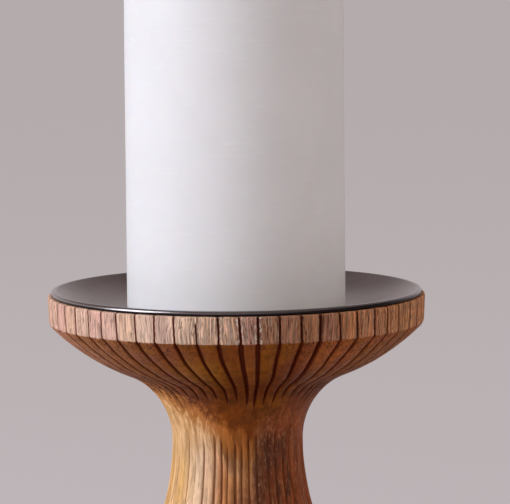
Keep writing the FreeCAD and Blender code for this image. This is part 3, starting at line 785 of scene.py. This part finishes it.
# %% [markdown]
# Every other node comes from one method, Bench.node. It sets the node's choices first, because some
# of them change which sockets there are, and then fills or links its sockets.
# %% One method for all nodes
class Bench:
    """A new material, or the world, whose nodes are added one at a time."""

    def __init__(self, name, kind="materials"):
        self.owner = getattr(bpy.data, kind).new(name)
        self.owner.use_nodes = True
        self.tree = self.owner.node_tree
        self.tree.nodes.clear()

    def node(self, kind, sockets=None, out=0, stops=(), **settings):
        """A shader node of a kind, with what its sockets take, its ramp's stops and its settings."""
        added = self.tree.nodes.new(f"ShaderNode{kind}")
        for name, value in settings.items():
            setattr(added, name, value)
        for index, (place, tone) in enumerate(stops):
            elements = added.color_ramp.elements
            element = elements[index] if index < len(elements) else elements.new(1.0)
            element.position = place
            element.color = paint(*tone)
        for name, value in (sockets or {}).items():
            if isinstance(value, Signal):
                self.tree.links.new(value.socket, added.inputs[name])
            else:
                added.inputs[name].default_value = value
        return Signal(self, added.outputs[out]) if len(added.outputs) else added

    def report(self, part):
        print(f"{self.owner.name}, {part}: {len(self.tree.nodes)} nodes")


def paint(red, green, blue):
    """A colour given as it shows on a screen, 0 to 255, as the linear numbers that a shader takes."""
    shown = Color((red / 255, green / 255, blue / 255)).from_srgb_to_scene_linear()
    return (*shown, 1.0)


def dress(piece, material):
    piece.data.materials.clear()
    piece.data.materials.append(material)


print(f"Half grey on a screen is {paint(128, 128, 128)[0]:.2f} in linear light")

# %% [markdown]
# A finish is a bench with the patterns that all the materials here use. Places are the piece's own
# coordinates in millimetres, so a pattern stays on the piece when it moves. Colours go through Mix
# and Vector Math, because a Math node would turn them grey.
# %% Patterns and colours
class Finish(Bench):
    """A bench that knows places, noises, colours and the one surface shader."""

    def place(self, stretch=(1, 1, 1)):
        """The piece's own coordinates in millimetres, stretched or squeezed along each axis."""
        scale = tuple(share / MM for share in stretch)
        sockets = {0: self.node("TexCoord", out="Object"), 1: scale}
        return self.node("VectorMath", sockets, operation="MULTIPLY")

    def split(self, place):
        """The three numbers of a place."""
        parts = self.node("SeparateXYZ", {0: place}).socket.node.outputs
        return [Signal(self, part) for part in parts]

    def join(self, x, y, z):
        return self.node("CombineXYZ", {"X": x, "Y": y, "Z": z})

    def distance(self, place, spot):
        """How many millimetres a place is from a spot."""
        return self.node("VectorMath", {0: place, 1: spot}, out="Value", operation="DISTANCE")

    def cloud(self, place, scale, detail=3.0, rough=0.55, warp=0.0):
        """Noise from about 0.3 to 0.7 whose grains are about 1/scale long."""
        sockets = {"Vector": place, "Scale": scale, "Detail": detail, "Roughness": rough}
        return self.node("TexNoise", {**sockets, "Distortion": warp})

    def cells(self, place, scale):
        """Distance from the nearest of many scattered points about 1/scale apart."""
        return self.node("TexVoronoi", {"Vector": place, "Scale": scale}, out="Distance")

    def read(self, name):
        """A number that the mesh carries."""
        return self.node("Attribute", out="Fac", attribute_name=name)

    def ramp(self, share, stops):
        """A colour from a list of places and tones."""
        return self.node("ValToRGB", {0: share}, stops=stops)

    def mix(self, share, *tones):
        """The first tone where share is 0 and the second where it is 1."""
        first, second = (tone if isinstance(tone, Signal) else paint(*tone) for tone in tones)
        return self.node("Mix", {0: share, 6: first, 7: second}, out=2, data_type="RGBA")

    def coats(self, colour, *coats):
        """The colour under more coats; each says where it lies, how well it covers, and its tone."""
        for where, cover, tone in coats:
            colour = self.mix(where * cover, colour, tone)
        return colour

    def shade(self, colour, amount):
        """The same colour, lighter where amount is over 1 and darker where it is under."""
        return self.node("VectorMath", {0: colour, "Scale": amount}, operation="SCALE")

    def bump(self, height, distance, strength=1.0):
        return self.node("Bump", {"Height": height, "Distance": distance, "Strength": strength})

    def surface(self, **sockets):
        """The finish's one shader, joined to its output."""
        named = {name.replace("_", " "): value for name, value in sockets.items()}
        self.node("OutputMaterial", {"Surface": self.node("BsdfPrincipled", named)})
        self.report("finished")
        return self.owner


print("A finish knows:", ", ".join(name for name in vars(Finish) if name[0] != "_"))

# %% [markdown]
# The wood is one block, so its figure is a pattern in space, squeezed along the height: it shows as
# long fibres on upright faces and as end-grain dots where the turning cuts across it. A knot at the
# front of the neck pushes the fibres aside. Streaks are the broad fibres, threads are thin dark
# lines among the fine ones, vessels are the pores, and patch and blotch are soft clouds of colour.
# %% Wood: the figure of the block
KNOT = (-2.0, -23.0, 108.0)
KNOT_REACH = (3.0, 17.0)
KNOT_PUSH = 0.5
STREAK_SQUEEZE = 0.05
FIBRE_SQUEEZE = 0.02
VESSEL_SQUEEZE = 0.045

wood = Finish("carved_wood")
place = wood.place()
x, y, z = wood.split(place)
wander = wood.cloud(place, scale=0.07, detail=2.0)
from_knot = wood.distance(place, KNOT) + wander.swing(10)
pushed = x * (1 - from_knot.fall(*KNOT_REACH) * KNOT_PUSH) + wander.swing(3)


def along_grain(squeeze):
    """A place in the block, pushed aside by the knot and squeezed along the height."""
    return wood.join(pushed, y, z * squeeze)


streak = wood.cloud(along_grain(STREAK_SQUEEZE), scale=0.5, detail=4.0, rough=0.6)
fibre_place = along_grain(FIBRE_SQUEEZE)
fibre = wood.cloud(fibre_place, scale=2.4, detail=3.0, rough=0.6)
thread = abs(wood.cloud(fibre_place, scale=1.7, detail=2.0, rough=0.5) - 0.5).fall(0.0, 0.05)
vessel = wood.cells(along_grain(VESSEL_SQUEEZE), scale=1.45).fall(0.22, 0.46)
patch = wood.cloud(wood.place((1, 1, 0.45)), scale=0.055, detail=2.0)
blotch = wood.cloud(wood.place((1, 1, 0.3)), scale=0.35, detail=3.0, rough=0.6)
wood.report("figure")

# %% [markdown]
# The mesh carries three numbers for the wood: carve, run and land. From them and from x, which goes
# from left to right, come the places that the colours below are tied to. The strips between two
# cuts are each a little lighter or darker than their neighbours.
# %% Wood: places on the column
ACROSS_WANDER = 26

run = wood.read("run")
carve = wood.read("carve")
land = wood.read("land")
across = x + patch.swing(ACROSS_WANDER)
on_right = across.rise(-1.0, 5.0)


def strip_coats(full, light_cover, light, dark_cover, dark):
    """Two coats that make light strips lighter and dark strips darker, up to a full land tone."""
    return (land.rise(0.1, full), light_cover, light), ((-land).rise(0.1, full), dark_cover, dark)


wood.report("places")

# %% [markdown]
# The stem is honey-coloured on the left and red-brown on the right, with a smoky stripe between. The
# heartwood shows round the knot, and small flecks break up the flat of each strip.
# %% Wood: the stem
STEM_STOPS = [
    (0.08, (230, 178, 112)),
    (0.29, (238, 197, 160)),
    (0.50, (204, 140, 88)),
    (0.66, (130, 70, 42)),
    (0.92, (154, 74, 28)),
]
STEM_WIDTH = 48
PALE_STRIP, DARK_STRIP = (238, 206, 172), (158, 84, 40)
SMOKE = (84, 50, 38)
SMOKE_TOP = (103.0, 109.0)
PALE_FLECK, DARK_FLECK = (184, 132, 98), (98, 52, 26)
HEARTWOOD = (150, 84, 18)

smoke_place = x + streak.swing(24)
smoky = smoke_place.rise(3.0, 7.0) * smoke_place.fall(13.0, 17.0) * z.fall(*SMOKE_TOP)
fleck = wood.cloud(wood.place((1, 1, 0.4)), scale=1.3, detail=3.0, rough=0.6)
heart = (from_knot + streak.swing(16)).fall(2.0, 9.0)
stem = wood.ramp((across + streak.swing(8)) / STEM_WIDTH + 0.5, STEM_STOPS)
stem = wood.coats(
    stem,
    *strip_coats(1.3, 0.42 - on_right * 0.27, PALE_STRIP, 0.4, DARK_STRIP),
    (smoky * blotch.rise(0.34, 0.56), 0.8, SMOKE),
    (fleck.rise(0.54, 0.64), 0.1 + on_right * 0.35, PALE_FLECK),
    (fleck.fall(0.36, 0.46) * x.rise(-5.0, 4.0), 0.38, DARK_FLECK),
    (heart, 0.8, HEARTWOOD),
)
wood.report("stem")

# %% [markdown]
# The underside is painted the darkest: partly darker wood, partly painted shade for faces that
# turn down, away from the light. Two warm spots lie near its top, and burnt clouds of colour lie
# near the neck, except at the left.
# %% Wood: the underside
UNDER_SHADED_STOPS = [
    (0.05, (190, 130, 96)),
    (0.28, (142, 78, 46)),
    (0.45, (126, 62, 4)),
    (0.65, (130, 64, 24)),
    (0.92, (176, 98, 54)),
]
UNDER_WIDTH = 110
AMBER, AMBER_SPOT = (166, 104, 2), (-10.0, -44.0, HEAD_TOP / MM - 16.5)
ORANGE, ORANGE_SPOT = (178, 96, 34), (30.0, -46.0, HEAD_TOP / MM - 12.0)
SPOT_REACH = (3.0, 13.0)
BURNT = (86, 42, 2)
BURNT_RUN = (40.0, 50.0)


def near(spot):
    """One close to a spot, zero further off, with an edge that follows the grain."""
    return (wood.distance(place, spot) + patch.swing(14) + fibre.swing(6)).fall(*SPOT_REACH)


burnt = wood.cloud(place, scale=0.15, detail=3.0).rise(0.46, 0.62) * run.rise(*BURNT_RUN)
# These stops hold painted shade for the downward faces as well as the wood's own colour.
under = wood.ramp(across / UNDER_WIDTH + 0.5, UNDER_SHADED_STOPS)
under = wood.coats(
    under,
    (patch.rise(0.45, 0.57), 0.6, (148, 86, 2)),
    *strip_coats(1.0, 0.3, (168, 96, 48), 0.3, (100, 50, 16)),
    (near(AMBER_SPOT), 0.6, AMBER),
    (near(ORANGE_SPOT), 0.6, ORANGE),
    (burnt * x.rise(-14.0, -4.0), 0.55, BURNT),
)
wood.report("underside")

# %% [markdown]
# The band is sawn and left unpolished, so it is paler and pinker than the rest.
# %% Wood: the band
BAND_STOPS = [
    (0.02, (232, 184, 160)),
    (0.30, (224, 190, 168)),
    (0.44, (216, 176, 146)),
    (0.56, (156, 112, 86)),
    (0.71, (160, 106, 76)),
    (0.88, (206, 136, 94)),
]
BAND_WIDTH = 120

band = wood.ramp(across / BAND_WIDTH + 0.5, BAND_STOPS)
band = wood.coats(band, *strip_coats(0.9, 0.35, (216, 152, 146), 0.4, (196, 146, 90)))
wood.report("band")

# %% [markdown]
# Where each of the three lies: the band ends in a crisp line, and the underside in a brushy one that
# sinks from the left to the middle and then rises a little. Left of the middle, the stem is golden
# along that line.
# %% Wood: from one part to the next
BAND_END = (8.9, 9.3)
NECK_EDGE = 46.5
NECK_EDGE_DROP, DROP_PLACE = 20, (-30.0, 6.0)
NECK_EDGE_RISE, RISE_PLACE = 10, (3.0, 11.0)
GOLDEN_DEPTH = 14.0
LEFT_GOLD, MIDDLE_GOLD = (224, 160, 78), (150, 94, 36)
VERGE = (196, 118, 52)

below_band = (run + fibre.swing(0.8)).rise(*BAND_END)
on_band = (1 - below_band) * run.rise(-0.5, 0.0)
neck_edge = NECK_EDGE + x.rise(*DROP_PLACE) * NECK_EDGE_DROP - x.rise(*RISE_PLACE) * NECK_EDGE_RISE
past_edge = run - neck_edge
on_stem = (past_edge + streak.swing(16) + blotch.swing(7)).rise(-6.0, 6.0)
golden = (past_edge + streak.swing(30) + blotch.swing(14)).fall(0.0, GOLDEN_DEPTH) * (1 - on_right)
from_left = x.rise(-12.0, -3.0)
gold = wood.mix(from_left, LEFT_GOLD, MIDDLE_GOLD)
stem = wood.coats(stem, (golden, 0.58 + from_left * 0.17, gold))
base = wood.mix(on_stem, wood.mix(below_band, band, under), stem)
verge = on_stem * (1 - on_stem) * 4 * (1 - on_right)
base = wood.coats(base, (verge, 0.6, VERGE))
wood.report("parts")

# %% [markdown]
# The grain lightens and darkens all of it, most of all on the band, where the sawn fibres stand up.
# Growth rings show faintly on the underside, because the turning cuts across them there. Painted
# shade darkens the underside as it goes in under the head and lifts again towards the neck.
# %% Wood: grain and rings
RING_CENTRE = (-12, 8)
RING_PACE = 1.7
COVE_SHADE_RUN, COVE_SHADE_END = (18.0, 36.0), (46.0, 56.0)

coarse = on_band * across.rise(-34.0, 4.0)
grain = 1 + streak.swing(1.3) + fibre.swing(0.8 + on_band * 1.6 + coarse * 4.0)
grain = grain + blotch.swing(0.25 + on_stem * 0.45 + run.rise(36.0, 44.0) * 0.35)
from_centre = ((x - RING_CENTRE[0]) ** 2 + (y - RING_CENTRE[1]) ** 2) ** 0.5
ring_place = (from_centre + wander.swing(12)) * RING_PACE
ring_wave = ring_place.math("SINE", ring_place)
rings = ring_wave * below_band * (1 - on_stem)
# Painted shade: darker in the cove under the head, lighter again near the neck.
cove_shade = run.rise(*COVE_SHADE_RUN) * 0.27 - run.rise(*COVE_SHADE_END) * 0.38
colour = wood.shade(base, grain + rings * 0.06 - cove_shade * (1 - on_stem))
wood.report("grain")

# %% [markdown]
# Dark threads and pale torn fibres run down the sawn band. Just under it the pores are cut across
# and show as dark specks, most of all half-way out to each side.
# %% Wood: threads, torn fibres and specks
DARK_THREAD = (78, 42, 32)
LEFT_FIBRE, RIGHT_FIBRE = (228, 204, 186), (226, 178, 142)
PORE = (56, 22, 8)

dash = wood.cloud(wood.place((0.7, 0.7, 0.22)), scale=0.9, detail=2.0).rise(0.48, 0.56)
pale_fibre = fibre.fall(0.38, 0.46) * (on_band * 0.4 + coarse * 0.6)
fibre_tone = wood.mix(across.rise(-4.0, 22.0), LEFT_FIBRE, RIGHT_FIBRE)
speckled = abs(x - 1).rise(9.0, 20.0) * abs(x).fall(42.0, 54.0)
near_band = below_band * run.fall(14.0, 28.0) * (0.15 + speckled * 0.85)
colour = wood.coats(
    colour,
    (thread * on_band, 0.3 + dash * 0.5 + coarse * 0.3, DARK_THREAD),
    (pale_fibre, 0.65, fibre_tone),
    (vessel, 0.1 + near_band * 0.75 + on_band * 0.2, PORE),
)
wood.report("specks")

# %% [markdown]
# The cuts are painted dark as painted shade for their depth: red-brown on the band and under it,
# and only a deeper tone of the wood itself on the stem. A few cuts at the front have torn, pale edges.
# %% Wood: the cuts
LEFT_BAND_CUT_SHADE, RIGHT_BAND_CUT_SHADE = (128, 66, 50), (84, 34, 18)
UNDER_CUT_SHADE, STEM_CUT_SHADE_TONE = (98, 32, 6), (138, 74, 32)
TORN_TONE = (228, 208, 194)
STEM_CUT_SHADE = 0.64

band_cut_shade = wood.mix(across.rise(-30.0, 0.0), LEFT_BAND_CUT_SHADE, RIGHT_BAND_CUT_SHADE)
stem_cut_shade = wood.mix(0.45, wood.shade(stem, STEM_CUT_SHADE), STEM_CUT_SHADE_TONE)
cut_shade_colour = wood.mix(on_stem, wood.mix(on_band, UNDER_CUT_SHADE, band_cut_shade), stem_cut_shade)
# The cuts take their painted shade here, strongest on their floors.
colour = wood.mix(carve.rise(0.1, 0.8), colour, cut_shade_colour)
torn_edge = carve.rise(0.02, 0.15) * carve.fall(0.25, 0.5) * coarse * abs(x - 2).fall(5.0, 11.0)
tears = wood.cloud(wood.place((1, 1, 0.6)), scale=1.6, detail=2.0, rough=0.5).rise(0.52, 0.58)
colour = wood.coats(colour, (torn_edge * tears, 0.8, TORN_TONE))
wood.report("cuts")

# %% [markdown]
# Fibres stand a little proud and pores lie a little deep. The sawn band is rougher than the rest,
# which has a dull oil finish rather than varnish, so its highlight is weak.
# %% Wood: surface
relief = fibre * (0.5 + coarse * 1.6) + streak * 0.8 - vessel * 0.3
wood_material = wood.surface(
    Base_Color=colour, Roughness=0.55 + on_band * 0.25 - streak.swing(0.2),
    Normal=wood.bump(relief, 0.25 * MM, 0.7), Specular_IOR_Level=0.15)
dress(column, wood_material)
dress(foot, wood_material)

# %% [markdown]
# The plate is dark metal with a satin face. Fine rings from the spinning chuck break its gloss, and
# the lip is smoother, so it draws a sharp bright line where it turns towards the light. The lip's
# side is painted nearly black and its flat top a darker grey, as painted shade; on the right the
# black reaches higher up the side.
# %% Finish: dark metal sheet
LIP_PLACE = (57.4, 58.0)
LIP_FLAT = (lip_top / MM - 0.3, lip_top / MM - 0.08)
SHADED_SIDE_TOP = lip_top / MM - 0.7
SHADED_SIDE_RISE = 0.45
DARK_FACE, LIGHT_FACE = (149, 138, 136), (168, 157, 155)
LIP_ROUND_TONE, LIP_FLAT_SHADE, LIP_SIDE_SHADE = (158, 149, 147), (128, 119, 118), (50, 44, 46)


def make_gunmetal():
    metal = Finish("gunmetal_sheet")
    place = metal.place()
    x, y, z = metal.split(place)
    radius = (x * x + y * y) ** 0.5
    rings = metal.cloud(metal.join(radius, z * 0.3, 0.0), scale=3.5, detail=4.0, rough=0.7)
    haze = metal.cloud(place, scale=0.06, detail=3.0)
    on_lip = radius.rise(*LIP_PLACE)
    shaded_side_top = SHADED_SIDE_TOP + x.rise(5.0, 50.0) * SHADED_SIDE_RISE
    face = metal.mix(haze.rise(0.35, 0.65), DARK_FACE, LIGHT_FACE)
    # Painted shade: the lip's flat top is darker than the face and its side nearly black.
    edge = metal.mix(z.rise(*LIP_FLAT), LIP_ROUND_TONE, LIP_FLAT_SHADE)
    edge = metal.mix((z - shaded_side_top).fall(-0.25, 0.0), edge, LIP_SIDE_SHADE)
    return metal.surface(
        Base_Color=metal.mix(on_lip, face, edge), Metallic=1.0,
        Roughness=0.34 + haze.swing(0.2) + rings.swing(0.12) - on_lip * 0.1,
        Normal=metal.bump(rings, 0.01 * MM, 0.5))


dress(plate, make_gunmetal())

# %% [markdown]
# Wax lets light in a little way, so it never has a hard shadow edge. A small amount of subsurface
# does that; the marks on it are faint level scratches and a soft mottling.
# %% Finish: candle wax
WAX_LIGHT, WAX_DARK, WAX_SCRATCH = (243, 240, 242), (239, 236, 238), (251, 250, 251)


def make_wax():
    wax = Finish("candle_wax")
    mottle = wax.cloud(wax.place(), scale=0.05, detail=3.0)
    marks = wax.cloud(wax.place((0.1, 0.1, 1.5)), scale=1.0, detail=4.0, rough=0.65)
    colour = wax.mix(mottle.rise(0.3, 0.7), WAX_LIGHT, WAX_DARK)
    return wax.surface(
        Base_Color=wax.coats(colour, (marks.rise(0.58, 0.68), 0.35, WAX_SCRATCH)),
        Roughness=0.46 + mottle.swing(0.1), Normal=wax.bump(marks, 0.06 * MM, 0.6),
        Subsurface_Weight=0.35, Subsurface_Radius=(1.0, 0.7, 0.5), Subsurface_Scale=3 * MM,
        Specular_IOR_Level=0.4)


dress(candle, make_wax())

# %% [markdown]
# Cotton is matt and slightly cream, with dark gaps between its strands. Felt is a dense tangle of
# short fibres, so two sizes of noise give its colour and its nap.
# %% Finishes: cotton and felt
def make_cotton():
    cotton = Finish("wick_cotton")
    threads = cotton.cloud(cotton.place((3, 3, 1)), scale=1.2, detail=4.0, rough=0.7)
    colour = cotton.mix(threads.rise(0.35, 0.65), (206, 196, 176), (236, 230, 216))
    return cotton.surface(Base_Color=colour, Roughness=0.95, Normal=cotton.bump(threads, 0.1 * MM, 0.8))


def make_felt():
    wool = Finish("felt")
    place = wool.place()
    tangle = wool.cloud(place, scale=1.4, detail=5.0, rough=0.75, warp=1.5)
    patches = wool.cloud(place, scale=0.12, detail=2.0)
    colour = wool.mix(tangle.rise(0.3, 0.7), (44, 40, 38), (78, 72, 68))
    colour = wool.coats(colour, (patches.rise(0.35, 0.7), 0.4, (60, 52, 46)))
    return wool.surface(
        Base_Color=colour, Roughness=0.97, Normal=wool.bump(tangle, 0.25 * MM), Sheen_Weight=0.4)


dress(wick, make_cotton())
dress(felt, make_felt())

# %% [markdown]
# The small fittings keep their packed solids, whose shape is right, and only get better metal.
# %% Finishes: steel, brass and zinc
def make_metal(name, dark, light, roughness, stretch):
    metal = Finish(name)
    brushed = metal.cloud(metal.place(stretch), scale=1.0, detail=4.0, rough=0.7)
    haze = metal.cloud(metal.place(), scale=0.25, detail=3.0)
    return metal.surface(
        Base_Color=metal.mix(haze.rise(0.3, 0.7), dark, light), Metallic=1.0,
        Roughness=roughness + brushed.swing(0.25) + haze.swing(0.2),
        Normal=metal.bump(brushed, 0.02 * MM, 0.4))


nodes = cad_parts
dress(nodes["pricket"], make_metal("spike_steel", (140, 136, 132), (172, 168, 164), 0.3, (0.6, 0.6, 9)))
brass = make_metal("insert_brass", (176, 134, 66), (214, 176, 100), 0.35, (0.6, 0.6, 6))
zinc = make_metal("zinc_steel", (150, 152, 154), (196, 196, 192), 0.38, (3, 3, 3))
for name, metal in (
    ("pricket_insert", brass), ("foot_insert", brass), ("foot_bolt", zinc), ("foot_washer", zinc)
):
    dress(nodes[name], metal)

# %% [markdown]
# The stage is a large pale floor, which also fills the background when it is seen from nearly level.
# It is matt. To the camera it also glows a little, so that it keeps its colour far away.
# %% Floor
FLOOR_HALF = 30.0
FLOOR_TONE = (206, 199, 202)
BACKDROP = (196, 187, 190)
FLOOR_GLOW_SHARE = 0.5

stage = Finish("pale_floor")
matt = stage.node("BsdfDiffuse", {"Color": paint(*FLOOR_TONE)})
glow = stage.node("Emission", {"Color": paint(*BACKDROP)})
glowing = stage.node("LightPath", out="Is Camera Ray") * FLOOR_GLOW_SHARE
mixed = stage.node("MixShader", {0: glowing, 1: matt, 2: glow})
stage.node("OutputMaterial", {"Surface": mixed})
stage.report("finished")

floor_shape = bmesh.new()
bmesh.ops.create_grid(floor_shape, x_segments=2, y_segments=2, size=FLOOR_HALF)
floor_mesh = bpy.data.meshes.new("pale_floor")
floor_shape.to_mesh(floor_mesh)
floor_shape.free()
floor = bpy.data.objects.new("pale_floor", floor_mesh)
bpy.context.scene.collection.objects.link(floor)
dress(floor, stage.owner)

# %% [markdown]
# The world gives an even soft light, and shows itself to the camera as the same pale grey as the
# floor. Shiny things see what a room would show them: a pale horizon, a darker ceiling, and a dimmer
# side at the front right, away from the window.
# %% Soft light all round
FILL_TINT = (255, 248, 241)
FILL_STRENGTH = 0.57
HORIZON, OVERHEAD, DIM_SIDE = (222, 212, 215), (122, 113, 112), (52, 46, 46)
DIM_SHARE = 0.6
DIM_DIRECTION = (0.87, -0.5)

sky = Finish("studio", "worlds")
to_camera = sky.node("LightPath", out="Is Camera Ray")
first_bounce = sky.node("LightPath", out="Diffuse Depth").fall(0.0, 1.0)
to_mirror = sky.node("LightPath", out="Is Glossy Ray") * first_bounce
rightward, away, upward = sky.split(sky.node("TexCoord", out="Generated"))
front_right = (rightward * DIM_DIRECTION[0] + away * DIM_DIRECTION[1]).rise(0.2, 0.8)
room = sky.mix(upward.rise(0.05, 0.7), HORIZON, OVERHEAD)
room = sky.coats(room, (front_right, DIM_SHARE, DIM_SIDE))
fill = sky.node("Background", {"Color": paint(*FILL_TINT), "Strength": FILL_STRENGTH})
mirrored = sky.node("Background", {"Color": room})
backdrop = sky.node("Background", {"Color": paint(*BACKDROP)})
lit = sky.node("MixShader", {0: to_mirror, 1: fill, 2: mirrored})
shown = sky.node("MixShader", {0: to_camera, 1: lit, 2: backdrop})
sky.node("OutputWorld", {"Surface": shown})
sky.report("finished")
scene = bpy.context.scene
scene.world = sky.owner

# %% [markdown]
# One large soft lamp at the front left is the window. Its cool tint and the world's warm one
# together give the faint blue of the candle's lit side and the warm shade on the other.
# %% The window
WINDOW_AZIMUTH = -70
WINDOW_HEIGHT = 28
WINDOW_DISTANCE = 1.6
WINDOW_SIZE = (0.85, 1.3)
WINDOW_POWER = 18.5
WINDOW_TINT = (0.82, 0.9, 1.0)


def direction(azimuth, elevation):
    """Unit vector towards a place; azimuth 0 is the front, and positive goes to the right."""
    turn, lift = math.radians(azimuth), math.radians(elevation)
    return Vector((math.sin(turn) * math.cos(lift), -math.cos(turn) * math.cos(lift), math.sin(lift)))


def look_back(aim, towards, distance):
    """The matrix of a lamp or camera that stands some way from its aim and looks back at it."""
    turned = towards.to_track_quat("Z", "Y").to_matrix().to_4x4()
    return Matrix.Translation(aim + towards * distance) @ turned


lamp = bpy.data.lights.new("window", "AREA")
lamp.shape = "RECTANGLE"
lamp.size, lamp.size_y = WINDOW_SIZE
lamp.energy = WINDOW_POWER
lamp.color = WINDOW_TINT
window = bpy.data.objects.new("window", lamp)
towards_window = direction(WINDOW_AZIMUTH, WINDOW_HEIGHT)
window.matrix_world = look_back(Vector((0, 0, HEAD_TOP)), towards_window, WINDOW_DISTANCE)
scene.collection.objects.link(window)

print(f"The window gives {WINDOW_POWER} W from {WINDOW_AZIMUTH} degrees")

# %% [markdown]
# The photograph is taken with a long lens from a little above the head, so that the plate shows as
# a flat oval. The camera's aim, distance and lens below give the photograph's frame.
# %% Camera
CAMERA_ELEVATION = 6.5
CAMERA_DISTANCE = 1.6
CAMERA_LENS = 353
CAMERA_ROLL = -0.5
CAMERA_REACH = 200
AIM = Vector((6.1 * MM, 0, HEAD_TOP + 13.3 * MM))

camera_data = bpy.data.cameras.new("camera")
camera_data.lens = CAMERA_LENS
camera_data.sensor_width = 36
camera_data.clip_end = CAMERA_REACH
camera = bpy.data.objects.new("camera", camera_data)
roll = Matrix.Rotation(math.radians(CAMERA_ROLL), 4, "Z")
camera.matrix_world = look_back(AIM, direction(0, CAMERA_ELEVATION), CAMERA_DISTANCE) @ roll
scene.collection.objects.link(camera)
scene.camera = camera
scene.view_settings.view_transform = "Standard"

print(f"The camera stands at {camera.matrix_world.translation}")
